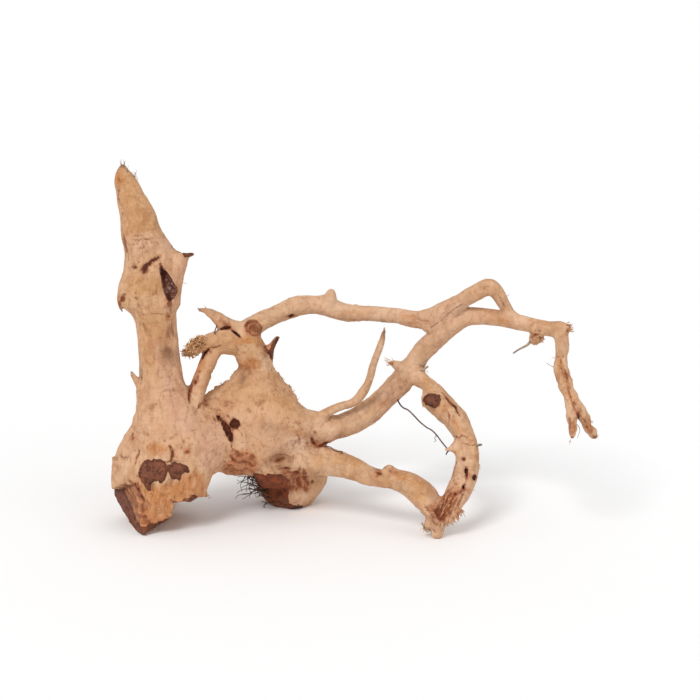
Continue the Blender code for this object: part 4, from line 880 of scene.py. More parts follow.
# The back and the top, which the drawing doesn't show, have marks of the same kinds.
behind = rise(0.15, -0.25, facing)
spots = clouds(P / 17, 40, 2)
bark = np.maximum(bark, np.where(behind > 0.5, (spots - 0.58) * 26, -12) - 12 * (radius <= 6))
rust = np.maximum(rust, np.where(behind > 0.4, (clouds(P / 15, 50, 3) - 0.36) * 20, -12))
scars = np.maximum(scars, np.where((behind > 0.4) & (radius > 3), (clouds(P / np.array([5, 5, 9]), 52, 2) - 0.6) * 12, -12))
heart = np.maximum(heart, np.where(behind > 0.4, (clouds(P / 28, 60, 2) - 0.25) * 14, -12))
ochre = np.maximum(ochre, np.where(behind > 0.4, clouds(P / 40, 65, 2) * 10, -12))
cracks = np.abs(clouds(P / np.array([16, 16, 34]), 70, 2))
pits = np.maximum(pits, np.where((behind > 0.5) & (radius > 8), 0.6 - cracks * 60 - 9 * np.maximum(0.15 - clouds(P / 24, 80, 2), 0) * 4, -12))
pits = np.maximum(pits, -12)

# Bark ends in a torn line.
bark = bark + (clouds(P / 3.0, 200, 3) * (0.95 + 0.9 * rise(14, 10, np.hypot(U - 432, V - 400))) + clouds(P / 1.5, 205, 2) * 0.5) * (bark > -4)
pits = pits + clouds(P / 1.7, 210, 2) * 0.5 * (pits > -3)
scars = scars + clouds(P / 1.9, 215, 2) * 0.55 * (scars > -3)

# Marks that have depth.
crack = rise(-0.7, 0.4, pits)
move -= 0.9 * crack * (0.35 + 0.65 * slim)
move -= 0.35 * rise(-0.5, 0.5, scars) * (1 - crack) * (0.4 + 0.6 * slim)
move += (0.5 + 0.25 * clouds(P / 4, 130, 2)) * rise(-0.4, 0.4, bark) * (1 - crack)
move += rise(-1.0, 1.2, rust) * clouds(P / 2.6, 90, 2) * 0.8 * (0.4 + 0.6 * slim)
move += rise(-1.0, 1.0, heart) * clouds(P / np.array([3, 3, 9]), 95, 2) * 0.5 * slim
ring = np.hypot(U - 322, V - 434)
ring_wave = np.sin(ring * 2 * math.pi / 4.4 + 4.5 * clouds(P / 8, 140, 2))
move += 0.26 * ring_wave * rise(22, 8, ring) * rise(0.1, 0.3, facing) * (P[:, 1] < 20) * rise(-0.3, 0.5, clouds(P / 7, 145, 2))
folds = rise(18, 6, np.hypot(U - 143, (V - 243) * 1.3)) * rise(0.1, 0.3, facing)
move += 0.62 * np.sin(V * 2 * math.pi / 4.2 + 0.12 * U + 1.5 * clouds(P / 9, 33, 2)) * folds
warp = np.stack([clouds(P / 22, 150, 2), clouds(P / 22, 160, 2), clouds(P / 22, 170, 2)], 1) * 9
creases = 1 - np.abs(clouds((P + warp) / np.array([6.5, 6.5, 15]), 180, 2)) * 3.2
move -= 0.34 * np.clip(creases, 0, 1) ** 2 * rise(6, 14, radius) * (1 - split)
rim = rise(0.35, 0.05, facing) * rise(364, 370, V) * rise(402, 396, V) * rise(205, 212, U) * rise(305, 298, U)
move += rim * clouds(P / 2.2, 190, 2) * 2.3
smudge = np.maximum(smudge, 2.4 * rim * rise(-0.3, 0.4, clouds(P / 2.6, 195, 2)) - 1.2)
move += 1.5 * rise(10, 5, np.hypot(U - 536.5, V - 337)) * clouds(P / 1.8, 220, 2)
move += 1.2 * rise(548, 556, U) * rise(338, 350, V) * clouds(P / np.array([3.6, 3.6, 5.0]), 225, 3)
move *= sole

P = P + N * move[:, None]
P[:, 2] = np.maximum(P[:, 2], 0.0)
box_low, box_high = np.array(cad_box[0]) * 1000 + 0.2, np.array(cad_box[1]) * 1000 - 0.2
P[:, :2] = np.clip(P[:, :2], box_low[:2], box_high[:2])
P[:, 2] = np.minimum(P[:, 2], box_high[2])
mesh.vertices.foreach_set("co", (P * 0.001).astype(np.float32).ravel())
mesh.update()
N = read_normals(mesh)

# How proud or sunk each point is, from its neighbours: the shader paints highlights on proud points and shade into sunk
# points and broad hollows.
ends = np.empty(len(mesh.edges) * 2, np.int32)
mesh.edges.foreach_get("vertices", ends)
ends = ends.reshape(-1, 2)


def spread(values, times):
    for _ in range(times):
        total = np.zeros_like(values)
        hits = np.zeros(COUNT)
        np.add.at(total, ends[:, 0], values[ends[:, 1]])
        np.add.at(total, ends[:, 1], values[ends[:, 0]])
        np.add.at(hits, ends.ravel(), 1)
        values = 0.5 * values + 0.5 * total / np.maximum(hits, 1)[:, None]
    return values


smooth = spread(P.copy(), 6)
proud = ((P - smooth) * N).sum(1)
smoother = spread(smooth.copy(), 20)
proud_wide = ((P - smoother) * N).sum(1)


# ---------------------------------------------------------------- attributes for the shader
def give(name, values, kind="FLOAT"):
    values = np.asarray(values, np.float32)
    layer = mesh.attributes.new(name, kind, "POINT")
    layer.data.foreach_set("vector" if kind == "FLOAT_VECTOR" else "value", values.ravel())


give("grain_a", grain[0], "FLOAT_VECTOR")
give("grain_b", grain[1], "FLOAT_VECTOR")
give("grain_mix", share_b)
give("seam_a", seam[0])
give("seam_b", seam[1])
for name, values in (("bark", bark), ("cave", cave), ("rust", rust), ("red_bark", red_bark), ("heart", heart), ("ochre", ochre), ("pits", pits), ("mauve", mauve),
                     ("smudge", smudge), ("pale", pale), ("scars", scars), ("umber_and_shade", umber_and_shade), ("low_face_light", low_face_light), ("dark_lip_and_shade", dark_lip_and_shade)):
    give(name, np.clip(values, -4, 4))
give("proud", np.clip(proud / 0.5, -1, 1))
give("proud_wide", np.clip(proud_wide / 2.2, -1, 1))
give("creases", np.clip(creases, 0, 1))
give("thin", 1 - rise(1.2, 7.5, radius))
give("branch", rise(20, 13, radius) * (P[:, 0] > -90))
give("split", split)
mesh.polygons.foreach_set("use_smooth", np.ones(len(mesh.polygons), bool))


# ---------------------------------------------------------------- materials
def lin(r, g, b):
    """An sRGB colour, 0 to 255, as Blender's linear one."""
    def one(c):
        c /= 255
        return c / 12.92 if c <= 0.04045 else ((c + 0.055) / 1.055) ** 2.4
    return (one(r), one(g), one(b), 1.0)


class Graph:
    def __init__(self, name):
        self.material = bpy.data.materials.new(name)
        self.material.use_nodes = True
        self.tree = self.material.node_tree
        self.shader = self.tree.nodes["Principled BSDF"]
        self.column = 0

    def new(self, kind):
        made = self.tree.nodes.new(kind)
        made.location = (-200 * (self.column % 12) - 300, -220 * (self.column // 12))
        self.column += 1
        return made

    def put(self, socket, value):
        if isinstance(value, bpy.types.NodeSocket):
            self.tree.links.new(value, socket)
        else:
            socket.default_value = value

    def value(self, name):
        made = self.new("ShaderNodeAttribute")
        made.attribute_name = name
        return made.outputs["Fac"]

    def vector(self, name):
        made = self.new("ShaderNodeAttribute")
        made.attribute_name = name
        return made.outputs["Vector"]

    def math(self, operation, a, b=0.0, c=0.0):
        made = self.new("ShaderNodeMath")
        made.operation = operation
        for socket, value in zip(made.inputs, (a, b, c)):
            self.put(socket, value)
        return made.outputs[0]

    def ramp(self, value, low, high, out_low=0.0, out_high=1.0):
        made = self.new("ShaderNodeMapRange")
        made.interpolation_type = "SMOOTHSTEP"
        for socket, v in zip(made.inputs, (value, low, high, out_low, out_high)):
            self.put(socket, v)
        return made.outputs[0]

    def scaled(self, vector, by):
        made = self.new("ShaderNodeVectorMath")
        made.operation = "MULTIPLY"
        self.put(made.inputs[0], vector)
        made.inputs[1].default_value = by
        return made.outputs[0]

    def noise(self, vector, scale=1.0, detail=3.0, roughness=0.55, distortion=0.0):
        made = self.new("ShaderNodeTexNoise")
        self.put(made.inputs["Vector"], vector)
        made.inputs["Scale"].default_value = scale
        made.inputs["Detail"].default_value = detail
        made.inputs["Roughness"].default_value = roughness
        made.inputs["Distortion"].default_value = distortion
        return made.outputs["Fac"]

    def blend(self, factor, a, b, mode="MIX"):
        made = self.new("ShaderNodeMix")
        made.data_type = "RGBA"
        made.blend_type = mode
        self.put(made.inputs[0], factor)
        self.put(made.inputs[6], a)
        self.put(made.inputs[7], b)
        return made.outputs[2]

    def part(self, factor, share, a, b):
        """b over a, by a factor that reaches the given share."""
        return self.blend(self.math("MULTIPLY", factor, share), a, b)

    def mix(self, factor, a, b):
        made = self.new("ShaderNodeMix")
        made.data_type = "FLOAT"
        self.put(made.inputs[0], factor)
        self.put(made.inputs[2], a)
        self.put(made.inputs[3], b)
        return made.outputs[0]

    def edge(self, name, noise, by):
        """A drawn distance in mm, with a ragged rim."""
        return self.math("ADD", self.value(name), self.math("MULTIPLY", self.math("SUBTRACT", noise, 0.5), by))

    def bump(self, height, strength, distance):
        made = self.new("ShaderNodeBump")
        made.inputs["Strength"].default_value = strength
        made.inputs["Distance"].default_value = distance
        self.put(made.inputs["Height"], height)
        self.put(self.shader.inputs["Normal"], made.outputs["Normal"])


g = Graph("bare_root_wood")
place = g.new("ShaderNodeTexCoord").outputs["Object"]
ga, gb, mixed = g.vector("grain_a"), g.vector("grain_b"), g.value("grain_mix")


seam_a, seam_b = g.value("seam_a"), g.value("seam_b")


def along_grain(scale, detail=3.0, roughness=0.6, distortion=0.0):
    plain = g.noise(place, 1000.0 * (scale[0] * scale[1] * scale[2]) ** (1 / 3), detail, roughness, distortion)
    return g.mix(mixed, g.mix(seam_a, g.noise(g.scaled(ga, scale), 1.0, detail, roughness, distortion), plain),
                 g.mix(seam_b, g.noise(g.scaled(gb, scale), 1.0, detail, roughness, distortion), plain))


fibres = along_grain((0.09, 0.85, 0.85), 4.0, 0.7)
streaks = along_grain((0.02, 0.16, 0.16), 3.0, 0.6, 0.4)
mottle = g.noise(place, 60.0, 5.0, 0.65)
broad = g.noise(place, 15.0, 2.0, 0.5)
grit = g.noise(place, 480.0, 3.0, 0.7)
fleck = g.noise(place, 200.0, 3.0, 0.65)
ragged = g.noise(place, 170.0, 4.0, 0.7)

skin = g.blend(g.ramp(streaks, 0.28, 0.72), lin(202, 156, 115), lin(215, 173, 138))
skin = g.part(g.ramp(mottle, 0.42, 0.78), 0.65, skin, lin(194, 141, 96))
skin = g.part(g.ramp(broad, 0.4, 0.7), 0.55, skin, lin(215, 167, 136))
skin = g.part(g.ramp(g.edge("ochre", mottle, 4.0), -2.0, 3.4), 0.7, skin, g.blend(g.ramp(mottle, 0.35, 0.7), lin(200, 151, 102), lin(182, 130, 80)))
skin = g.part(g.ramp(g.edge("mauve", mottle, 3.0), -1.6, 3.2), 0.6, skin, g.blend(g.ramp(mottle, 0.35, 0.7), lin(214, 168, 144), lin(198, 148, 122)))
skin = g.part(g.value("thin"), 0.3, skin, lin(196, 152, 116))
skin = g.part(g.math("MULTIPLY", g.ramp(g.noise(place, 105.0, 3.0, 0.6), 0.5, 0.68), g.value("branch")), 0.42, skin, lin(168, 120, 82))
skin = g.part(g.math("MULTIPLY", g.ramp(g.noise(place, 42.0, 2.0, 0.6), 0.42, 0.6), g.value("branch")), 0.45, skin, lin(216, 182, 152))
skin = g.part(g.ramp(fibres, 0.50, 0.80), 0.50, skin, lin(164, 110, 68))
wrinkles = along_grain((0.55, 0.10, 0.10), 3.0, 0.6, 0.6)
skin = g.part(g.ramp(wrinkles, 0.54, 0.74), 0.34, skin, lin(166, 112, 74))
skin = g.part(g.ramp(fibres, 0.46, 0.24), 0.45, skin, lin(232, 196, 160))
skin = g.part(g.ramp(g.noise(place, 330.0, 2.0, 0.6), 0.58, 0.74), 0.55, skin, lin(158, 98, 58))
orange = g.blend(g.ramp(fibres, 0.35, 0.7), lin(200, 133, 74), lin(168, 98, 46))
orange = g.part(g.ramp(fleck, 0.5, 0.7), 0.5, orange, lin(140, 78, 42))
skin = g.part(g.ramp(g.edge("heart", mottle, 9.0), -2.0, 3.0), 0.75, skin, orange)
# Painted highlights and painted light, with some pale patches.
skin = g.part(g.ramp(g.edge("pale", mottle, 1.6), -1.4, 3.2), 0.6, skin, lin(234, 200, 172))
# Painted highlight on proud points.
skin = g.part(g.ramp(g.value("proud"), 0.2, 1.0), 0.30, skin, lin(230, 194, 158))
skin = g.part(g.ramp(g.edge("smudge", mottle, 2.4), -1.2, 2.6), 0.8, skin, g.blend(g.ramp(fleck, 0.4, 0.65), lin(150, 106, 72), lin(110, 76, 54)))
skin = g.part(g.ramp(g.edge("creases", mottle, 1.1), 0.25, 1.0), 0.26, skin, lin(150, 96, 62))
rusty = g.blend(g.ramp(fleck, 0.36, 0.66), lin(197, 127, 84), lin(126, 60, 32))
rust_edge = g.edge("rust", ragged, 9.0)
rust_here = g.ramp(rust_edge, -2.0, 2.6)
skin = g.part(rust_here, 0.78, skin, rusty)
# Painted shade in sunk points and, more faintly, in broad hollows.
skin = g.part(g.ramp(g.value("proud"), -0.05, -0.75), 0.6, skin, lin(122, 70, 42))
skin = g.part(g.ramp(g.value("proud_wide"), -0.1, -0.8), 0.22, skin, lin(160, 106, 68))
cave_here = g.ramp(g.edge("cave", fleck, 0.8), -0.3, 0.3)
hollow = g.blend(g.ramp(ragged, 0.34, 0.62), lin(140, 96, 84), lin(82, 44, 36))
# Lighter specks in the hollow: painted highlights.
hollow = g.part(g.ramp(g.noise(place, 420.0, 2.0, 0.6), 0.52, 0.64), 0.7, hollow, lin(190, 156, 142))
skin = g.blend(cave_here, skin, hollow)
# Umber brown and painted shade over the skin.
skin = g.part(g.ramp(g.edge("umber_and_shade", fleck, 3.0), -1.6, 2.4), 0.74, skin, g.blend(g.ramp(ragged, 0.36, 0.64), lin(138, 84, 46), lin(94, 50, 24)))
barky = g.blend(g.ramp(ragged, 0.34, 0.66), lin(82, 38, 20), lin(122, 65, 37))
barky = g.part(g.ramp(mottle, 0.42, 0.66), 0.6, barky, lin(146, 86, 56))
drips = g.noise(g.scaled(place, (420.0, 420.0, 90.0)), 1.0, 3.0, 0.65)
barky = g.part(g.ramp(drips, 0.48, 0.64), 0.6, barky, lin(66, 32, 19))
barky = g.part(g.ramp(g.edge("bark", ragged, 2.0), 0.6, 3.4), 0.5, barky, lin(136, 84, 64))
barky = g.blend(g.ramp(g.value("red_bark"), -0.5, 0.5), barky, g.blend(g.ramp(ragged, 0.3, 0.7), lin(148, 72, 34), lin(108, 50, 22)))
barky = g.part(g.ramp(fibres, 0.5, 0.7), 0.4, barky, lin(64, 32, 22))
barky = g.part(g.ramp(fleck, 0.52, 0.62), 0.6, barky, lin(58, 28, 18))
barky = g.part(g.ramp(g.noise(place, 260.0, 3.0, 0.6), 0.58, 0.70), 0.5, barky, lin(162, 102, 66))
barky = g.part(g.ramp(g.value("bark"), 1.6, -0.2), 0.5, barky, lin(54, 25, 16))
# Painted light on the bulb's lower face.
barky = g.part(g.ramp(g.edge("low_face_light", ragged, 2.0), -1.2, 1.6), 0.4, barky, lin(168, 92, 48))
# Darker lip: dark bark, and painted shade near the floor.
barky = g.part(g.ramp(g.edge("dark_lip_and_shade", ragged, 2.0), -0.8, 1.4), 0.7, barky, lin(52, 28, 20))
bark_here = g.ramp(g.edge("bark", ragged, 4.2), -0.35, 0.5)
skin = g.blend(bark_here, skin, barky)
scar_here = g.ramp(g.edge("scars", fleck, 2.2), -0.7, 0.7)
skin = g.part(scar_here, 0.8, skin, g.blend(g.ramp(grit, 0.35, 0.65), lin(150, 82, 50), lin(98, 46, 26)))
pit_edge = g.edge("pits", fleck, 1.1)
pit_here = g.ramp(pit_edge, -0.45, 0.4)
skin = g.part(g.ramp(pit_edge, -2.0, 0.1), 0.6, skin, lin(140, 76, 46))
# Inside cracks and holes: dark red-brown, partly painted shade of their depth.
skin = g.part(pit_here, 0.88, skin, g.blend(g.ramp(grit, 0.4, 0.6), lin(96, 42, 24), lin(60, 24, 14)))
g.put(g.shader.inputs["Base Color"], skin)
g.put(g.shader.inputs["Roughness"], g.mix(bark_here, g.ramp(mottle, 0.3, 0.7, 0.68, 0.88), 0.68))
g.shader.inputs["Specular IOR Level"].default_value = 0.26
height = g.math("ADD", g.math("MULTIPLY", fibres, 1.5), g.math("MULTIPLY", grit, 0.4))
height = g.math("ADD", height, g.math("MULTIPLY", streaks, 0.8))
height = g.math("SUBTRACT", height, g.math("MULTIPLY", wrinkles, 1.3))
height = g.math("ADD", height, g.math("MULTIPLY", mottle, 0.9))
height = g.math("ADD", height, g.math("MULTIPLY", g.math("MULTIPLY", fleck, 1.6), g.math("MAXIMUM", rust_here, bark_here)))
height = g.math("SUBTRACT", height, g.math("MULTIPLY", pit_here, 1.0))
g.bump(height, 0.6, 0.0011)
mesh.materials.clear()
mesh.materials.append(g.material)

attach(wood, "root")
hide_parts("spiderwood_root")


def fibre_material(name, dark, light, roughness=0.7, scale=260.0):
    f = Graph(name)
    spot = f.new("ShaderNodeTexCoord").outputs["Object"]
    f.put(f.shader.inputs["Base Color"], f.blend(f.ramp(f.noise(spot, scale, 3.0, 0.6), 0.35, 0.65), dark, light))
    f.shader.inputs["Roughness"].default_value = roughness
    f.shader.inputs["Specular IOR Level"].default_value = 0.3
    f.bump(f.noise(spot, scale * 3, 2.0, 0.6), 0.4, 0.0003)
    return f.material


# ---------------------------------------------------------------- hairs, twigs and fibres
def curl(start, heading, length, bend, steps, droop=0.0):
    """A hair in the drawing: start and heading in (u, v, depth mm), length in drawing units."""
    points = [np.array(start, float)]
    heading = np.array(heading, float)
    heading /= np.linalg.norm(heading)
    swing = rng.normal(0, 1, 3)
    for k in range(steps):
        swing = 0.6 * swing + rng.normal(0, 1, 3)
        heading = heading + bend * swing * 0.3 + np.array([0, droop, 0])
        heading /= np.linalg.norm(heading)
        points.append(points[-1] + heading * length / steps)
    return points


def tube_mesh(paths, sides=5):
    """Tubes as one mesh: each path is (stations, first radius, last radius), in drawing units."""
    points, faces = [], []
    for stations, first, last in paths:
        placed = [at(*s) for s in stations]
        line = np.array([p for p, _ in placed])
        unit = np.array([s for _, s in placed])
        count = len(line)
        radii = (first + (last - first) * np.linspace(0, 1, count)) * unit
        side = None
        base = len(points)
        for k in range(count):
            ahead = line[min(k + 1, count - 1)] - line[max(k - 1, 0)]
            ahead /= max(np.linalg.norm(ahead), 1e-9)
            if side is None:
                side = np.cross(ahead, [0.2, 1.0, 0.3])
            side = side - ahead * (side @ ahead)
            side /= np.linalg.norm(side)
            other = np.cross(ahead, side)
            for j in range(sides):
                turn = 2 * math.pi * j / sides
                points.append(line[k] + radii[k] * (math.cos(turn) * side + math.sin(turn) * other))
        for k in range(count - 1):
            for j in range(sides):
                a, b = base + k * sides + j, base + k * sides + (j + 1) % sides
                faces.append((a, b, b + sides))
                faces.append((a, b + sides, a + sides))
        for centre, ring_at, flip in ((line[0], base, True), (line[-1], base + (count - 1) * sides, False)):
            points.append(centre)
            tip = len(points) - 1
            for j in range(sides):
                a, b = ring_at + j, ring_at + (j + 1) % sides
                faces.append((tip, b, a) if flip else (tip, a, b))
    points = np.array(points)
    points[:, 2] = np.maximum(points[:, 2], 0.15)
    return points, faces


def strands(name, paths, material, sides=5):
    points, faces = tube_mesh(paths, sides)
    made = bpy.data.objects.new(name, mesh_from(name, points, faces))
    made.data.materials.append(material)
    made.data.polygons.foreach_set("use_smooth", np.ones(len(made.data.polygons), bool))
    bpy.context.scene.collection.objects.link(made)
    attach(made, "root")
    return made


def eased(stations, steps=4):
    """A smooth line through stations of the drawing."""
    rows = np.array(stations, float)
    ends = np.vstack([rows[:1], rows, rows[-1:]])
    out = []
    for i in range(1, len(ends) - 2):
        for k in range(steps):
            t = k / steps
            w = np.array([-t + 2 * t * t - t ** 3, 2 - 5 * t * t + 3 * t ** 3, t + 4 * t * t - 3 * t ** 3, t ** 3 - t * t]) / 2
            out.append(w @ ends[i - 1:i + 3])
    out.append(rows[-1])
    return out


ROOTLET = fibre_material("dark_rootlet", lin(58, 36, 26), lin(104, 72, 52), 0.6)
GREY_TWIG = fibre_material("grey_twig", lin(112, 96, 80), lin(172, 150, 126), 0.75)
TUFT = fibre_material("torn_fibre", lin(166, 112, 72), lin(232, 190, 140), 0.9, 300.0)
FRAY = fibre_material("frayed_fibre", lin(150, 84, 50), lin(214, 158, 112), 0.85, 420.0)
PINK_FIBRE = fibre_material("pale_fibre", lin(176, 122, 86), lin(214, 166, 130), 0.85)

# Rootlets that hang under the middle and off the left of the bulb.
hairs = []
BULB_EDGE = [(255, 478), (258.8, 482.4), (260.8, 486), (263, 490), (265, 494), (267, 498), (270, 502)]
for k in range(24):
    t = (k + rng.uniform(0, 1)) / 24 * (len(BULB_EDGE) - 1)
    i = min(int(t), len(BULB_EDGE) - 2)
    u = BULB_EDGE[i][0] + (BULB_EDGE[i + 1][0] - BULB_EDGE[i][0]) * (t - i)
    v = BULB_EDGE[i][1] + (BULB_EDGE[i + 1][1] - BULB_EDGE[i][1]) * (t - i)
    length = rng.uniform(16, 33) * (0.75 if t > 4.8 else 1.0) * (0.5 if t < 1 else 1.0)
    heading = (-1.0, rng.uniform(-0.45, 0.25) + 0.05 * (3 - t), rng.uniform(-0.4, 0.1))
    hairs.append((curl((u + 3.5, v + rng.uniform(-1, 1), rng.uniform(14, 30)), heading, length, 0.42, 16), rng.uniform(0.5, 0.85), 0.26))
for k in range(8):
    hairs.append((curl((245 + 1.3 * k + rng.uniform(-0.5, 0.5), 469, 6 + 2 * k), (rng.uniform(-0.3, 0.2), 1, 0.3), rng.uniform(14, 28), 0.4, 12),
                  rng.uniform(0.4, 0.6), 0.22))
for k in range(20):
    trunk = hairs[k][0]
    hairs.append((curl(trunk[6 + k % 4], (-0.6, rng.choice([-0.7, 0.8]), 0.2), rng.uniform(6, 13), 0.6, 7), 0.42, 0.2))
strands("rootlets_under_bulb", hairs, ROOTLET)

# The long wiry rootlet from the main branch to the drooping one, and a small one in the fork.
wires = [
    (eased([(396, 394.6, 26), (397.4, 398.6, 22), (399.4, 403.4, 19), (403, 407.6, 16), (408, 410, 12), (413, 414.6, 8), (420, 422, 2), (427, 427.6, -4),
            (432, 430.4, -8), (437, 435.6, -13), (441, 441, -17), (445.4, 446.4, -22), (449, 450, -26), (452, 447, -28)]), 0.85, 0.7),
    (eased([(437, 435.4, -13), (434.6, 438, -14), (436, 440.6, -15), (433.8, 442, -16)]), 0.4, 0.25),
    (eased([(449, 450.4, -26), (447, 452.4, -26), (446, 455, -27)]), 0.9, 0.5),
    (eased([(322, 447, -4), (327, 446.4, -7), (331, 447.4, -10), (334.6, 450.4, -12), (338.6, 451.6, -14), (342.6, 451.4, -15)]), 0.55, 0.4),
    (eased([(341, 451.6, -15), (342.4, 453.4, -15)]), 0.9, 0.7),
    (eased([(217.4, 324.6, 9), (216, 328, 7), (214.8, 331.6, 6), (215.4, 336, 4)]), 0.65, 0.5),
]
strands("wiry_rootlets", wires, ROOTLET, 6)

# Thin dead twigs and wisps of bark.
twigs = [
    (eased([(533.4, 338, -27), (529.6, 342.6, -29), (526.4, 345.6, -30), (520, 348.8, -32), (513, 353.4, -33)]), 1.8, 0.7),
    (eased([(416, 373, 18), (420, 371.6, 17), (424, 369, 16), (428, 366.4, 15)]), 1.9, 1.1),
    (eased([(472, 445.6, -28), (476, 445.4, -30), (482, 444.6, -31)]), 2.1, 1.2),
    (eased([(432.6, 531.6, -49), (429.4, 530.6, -50), (427, 531.6, -50), (424.6, 527.6, -50), (421.6, 522.6, -49)]), 1.0, 0.7),
    (eased([(439.6, 532, -50), (443, 527, -52), (445, 523.4, -52), (447.4, 519.6, -52)]), 0.9, 0.5),
    (eased([(189, 255, -5), (193.6, 254.4, -5)]), 1.5, 0.8),
    (eased([(121.4, 305, -8), (121, 309, -8), (122.6, 311.6, -8)]), 1.2, 0.5),
    (eased([(563, 366, -44), (555, 367.4, -46), (550.4, 365.4, -47), (546.6, 363, -48)]), 0.45, 0.25),
    (eased([(576.6, 424, -60), (579.6, 428, -61), (579.4, 432, -62), (577.4, 438, -62)]), 0.42, 0.25),
    (eased([(278.4, 336.6, 16), (277, 340, 16)]), 1.6, 1.6),
    (eased([(200, 309.6, 7), (197.6, 308.4, 7)]), 1.3, 0.5),
    (eased([(384.2, 333, -13), (384.4, 327.6, -14)]), 1.6, 0.7),
    (eased([(132.6, 374, -21), (131, 371.6, -21)]), 1.7, 1.0),
    (eased([(143.6, 386, -20), (141.2, 377, -22), (140.6, 369.4, -23)]), 0.8, 0.4),
]
for k in range(22):
    t = rng.uniform(0, 1)
    twigs.append((curl((121 + 14 * t + rng.uniform(-1.5, 0.5), 165.6 + 13 * t, 6 + rng.uniform(-4, 3)), (rng.normal(0.5 * t, 0.5), -1 + 0.5 * t, 0), rng.uniform(3.5, 8), 0.7, 6),
                  rng.uniform(0.25, 0.45), 0.15))
strands("dead_twigs", twigs, GREY_TWIG, 6)

wisps = []
for u, v, d, du, dv, n, length in [
        (123, 166, 8, 0.2, -1, 5, 5), (133, 180, 5, 0.4, -1, 4, 7), (118, 175, 5, -1, -0.1, 4, 3.5), (139, 190, 5, 1, -0.4, 2, 3.5), (126, 248, 0, -1, 0.2, 3, 3),
        (182, 284, -4, 1, -0.2, 3, 4.5), (205, 310, 8, -0.3, -1, 4, 4), (331, 292, 50, -0.1, -1, 4, 3.4),
        (477, 452, -28, 1, 0.5, 6, 4.6), (478, 464, -30, 0.8, 0.9, 6, 5), (470, 490, -36, 0.8, 1, 4, 4), (115, 460, -19, -1, -0.6, 4, 3.6),
        (208, 497, -21, 1, 0.2, 5, 3.4), (569, 327, -40, 1, -0.3, 7, 5), (568, 324, -40, 0.8, -0.9, 4, 4), (569, 331, -40, 1, 0.5, 4, 5),
        (556, 356, -43, -1, 0.6, 2, 5), (568, 404, -56, -1, 0.8, 4, 4), (591, 421, -55, 1, 0.3, 4, 4), (571, 440, -63, 0, 1, 4, 4), (596, 436, -52, 0.8, 0.4, 3, 3),
        (390, 364, 29, -1, -0.1, 9, 6), (388, 361, 29, -1, -0.5, 6, 5), (402, 366, 26, -0.8, -0.8, 4, 4.5), (426, 371, 21, 1, 0.1, 3, 4),
        (537, 341, -27, 0.2, 1, 5, 4), (541, 339, -26, 0.9, 0.6, 5, 4), (430, 329, 14, -0.2, 1, 4, 4), (424, 529, -46, -0.8, 0.6, 3, 4),
        (424, 397, -6, -1, 0.1, 5, 3.5), (425, 405, -6, -1, 0.4, 4, 3.5),
        (282, 380, 20, 0.6, -1, 4, 4), (291, 391, 18, 0.8, -0.6, 5, 4), (296, 399, 17, 0.9, -0.4, 3, 3), (222, 385, 14, -0.3, -1, 4, 3),
        (302, 297, 46, 0, -1, 3, 2.5), (486, 281, -9, 0.2, -1, 3, 2.4), (506, 297, -10, 1, -0.3, 4, 3)]:
    for k in range((n * 2 + 2) // 3):
        start = (u + rng.uniform(-1.6, 1.6), v + rng.uniform(-1.6, 1.6), d + rng.uniform(-1.5, 1.5))
        wisps.append((curl(start, (du + rng.normal(0, 0.35), dv + rng.normal(0, 0.35), rng.normal(0, 0.3)), length * rng.uniform(0.6, 1.3), 0.5, 5),
                      rng.uniform(0.22, 0.42), 0.12))
strands("loose_wisps", wisps, PINK_FIBRE)

# Torn ends: the stub's spongy tuft, and the fibres where the drooping branch meets the foot.
tuft = []
for k in range(640):
    r = rng.normal(0, 1, 3)
    r *= rng.uniform(0.55, 1.0) / np.linalg.norm(r)
    u, v, d = 195.6 + 12 * r[0], 346.8 + 8.4 * r[1] - 0.5 * 12 * r[0], 0 + 7.6 * r[2]
    tuft.append((curl((u, v, d), (r[0] + rng.normal(0, 0.9), r[1] + rng.normal(0, 0.9), r[2] + rng.normal(0, 0.7)), rng.uniform(2.6, 5.6), 1.7, 6), rng.uniform(0.35, 0.75), 0.3))
for k in range(22):
    tuft.append((curl((187.5 + rng.uniform(-2, 3.4), 353 + rng.uniform(-3, 2), rng.uniform(-4, 3)), (-0.2 + rng.normal(0, 0.3), 1, 0), rng.uniform(2.5, 5.5), 0.9, 6), 0.6, 0.25))
strands("stub_tuft", tuft, TUFT)
fray = []
for k in range(90):
    t = rng.uniform(0, 1)
    fray.append((curl((445.4 + 15 * t, 519.6 - 13 * t + rng.uniform(-4, 1), -46 + rng.uniform(-7, 4)), (0.1 + rng.normal(0, 0.16) + 0.25 * t, 1, 0), rng.uniform(5, 11), 0.2, 5),
                 rng.uniform(0.45, 0.9), 0.2))
for k in range(16):
    fray.append((curl((447 + rng.uniform(-4, 7), 503 + rng.uniform(-8, 8), -54.5 + rng.uniform(0, 2)), (-0.5 + rng.normal(0, 0.2), 1, 0), rng.uniform(7, 13), 0.2, 5),
                 rng.uniform(0.4, 0.7), 0.3))
for k in range(18):
    fray.append((curl((534.5 + rng.uniform(-3, 8), 338 + rng.uniform(-3, 2), -27 + rng.uniform(-4, 4)), (rng.normal(0, 0.5), 1, 0), rng.uniform(2.5, 6), 0.6, 5), rng.uniform(0.4, 0.8), 0.2))
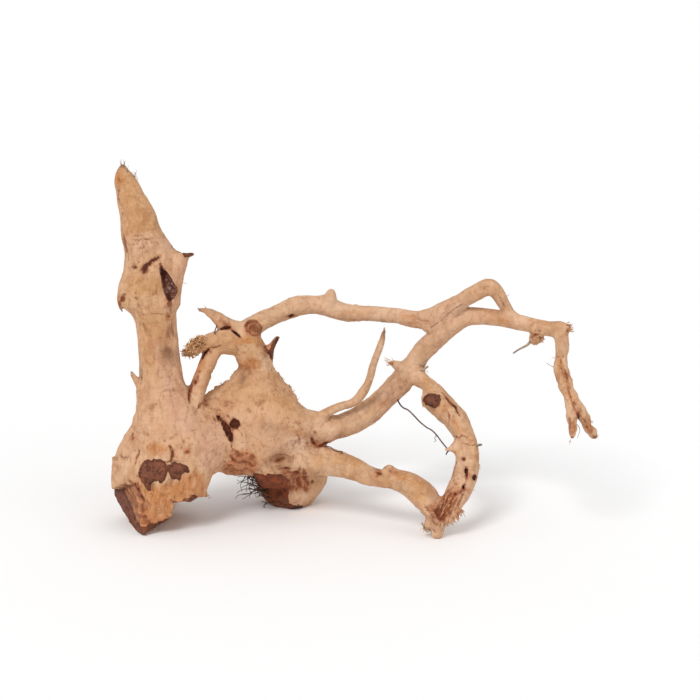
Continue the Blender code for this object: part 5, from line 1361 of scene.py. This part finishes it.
for k in range(16):
    fray.append((curl((567.6 + rng.uniform(-1, 1), 328 + rng.uniform(-4, 4), -40 + rng.uniform(-4, 4)), (1, rng.normal(0, 0.5), 0), rng.uniform(2.5, 6.5), 0.6, 5), rng.uniform(0.4, 0.8), 0.2))
for k in range(12):
    fray.append((curl((393 + rng.uniform(-2, 3), 362.4 + rng.uniform(-1.6, 1.6), 26 + rng.uniform(-3, 3)), (-1, rng.normal(-0.1, 0.35), 0), rng.uniform(3, 7), 0.6, 5), rng.uniform(0.3, 0.6), 0.15))
strands("frayed_foot", fray, FRAY)


# ---------------------------------------------------------------- floor, light, camera
def stage_material():
    s = Graph("pale_floor")
    s.shader.inputs["Base Color"].default_value = lin(247, 247, 247)
    s.shader.inputs["Roughness"].default_value = 0.95
    s.shader.inputs["Specular IOR Level"].default_value = 0.1
    return s.material


bpy.ops.mesh.primitive_circle_add(vertices=96, radius=60, fill_type="NGON", location=(0, 0, -0.0002))
floor = bpy.context.object
floor.name = "floor"
floor.data.materials.append(stage_material())

world = bpy.data.worlds.new("studio")
world.use_nodes = True
world.node_tree.nodes["Background"].inputs["Color"].default_value = (1.0, 1.0, 1.0, 1.0)
world.node_tree.nodes["Background"].inputs["Strength"].default_value = 0.71
bpy.context.scene.world = world


def sun(name, strength, angle, direction, colour=(1, 1, 1)):
    light = bpy.data.lights.new(name, "SUN")
    light.energy = strength
    light.angle = math.radians(angle)
    light.color = colour
    made = bpy.data.objects.new(name, light)
    made.rotation_euler = Vector(direction).to_track_quat("-Z", "Y").to_euler()
    bpy.context.scene.collection.objects.link(made)


sun("key", 1.5, 22, (0.42, 0.85, -0.95))
sun("fill", 0.3, 60, (-0.9, 0.6, -0.5))

camera_data = bpy.data.cameras.new("camera")
camera_data.lens = 36.0 * SPAN / 700.0
camera_data.sensor_width = 36.0
camera_data.clip_end = 200.0
camera = bpy.data.objects.new("camera", camera_data)
camera.location = EYE_AT * 0.001
camera.rotation_euler = (math.radians(90) - LOOK_DOWN, 0, 0)
bpy.context.scene.collection.objects.link(camera)
bpy.context.scene.camera = camera
bpy.context.scene.view_settings.view_transform = "Standard"
bpy.context.scene.view_settings.look = "None"
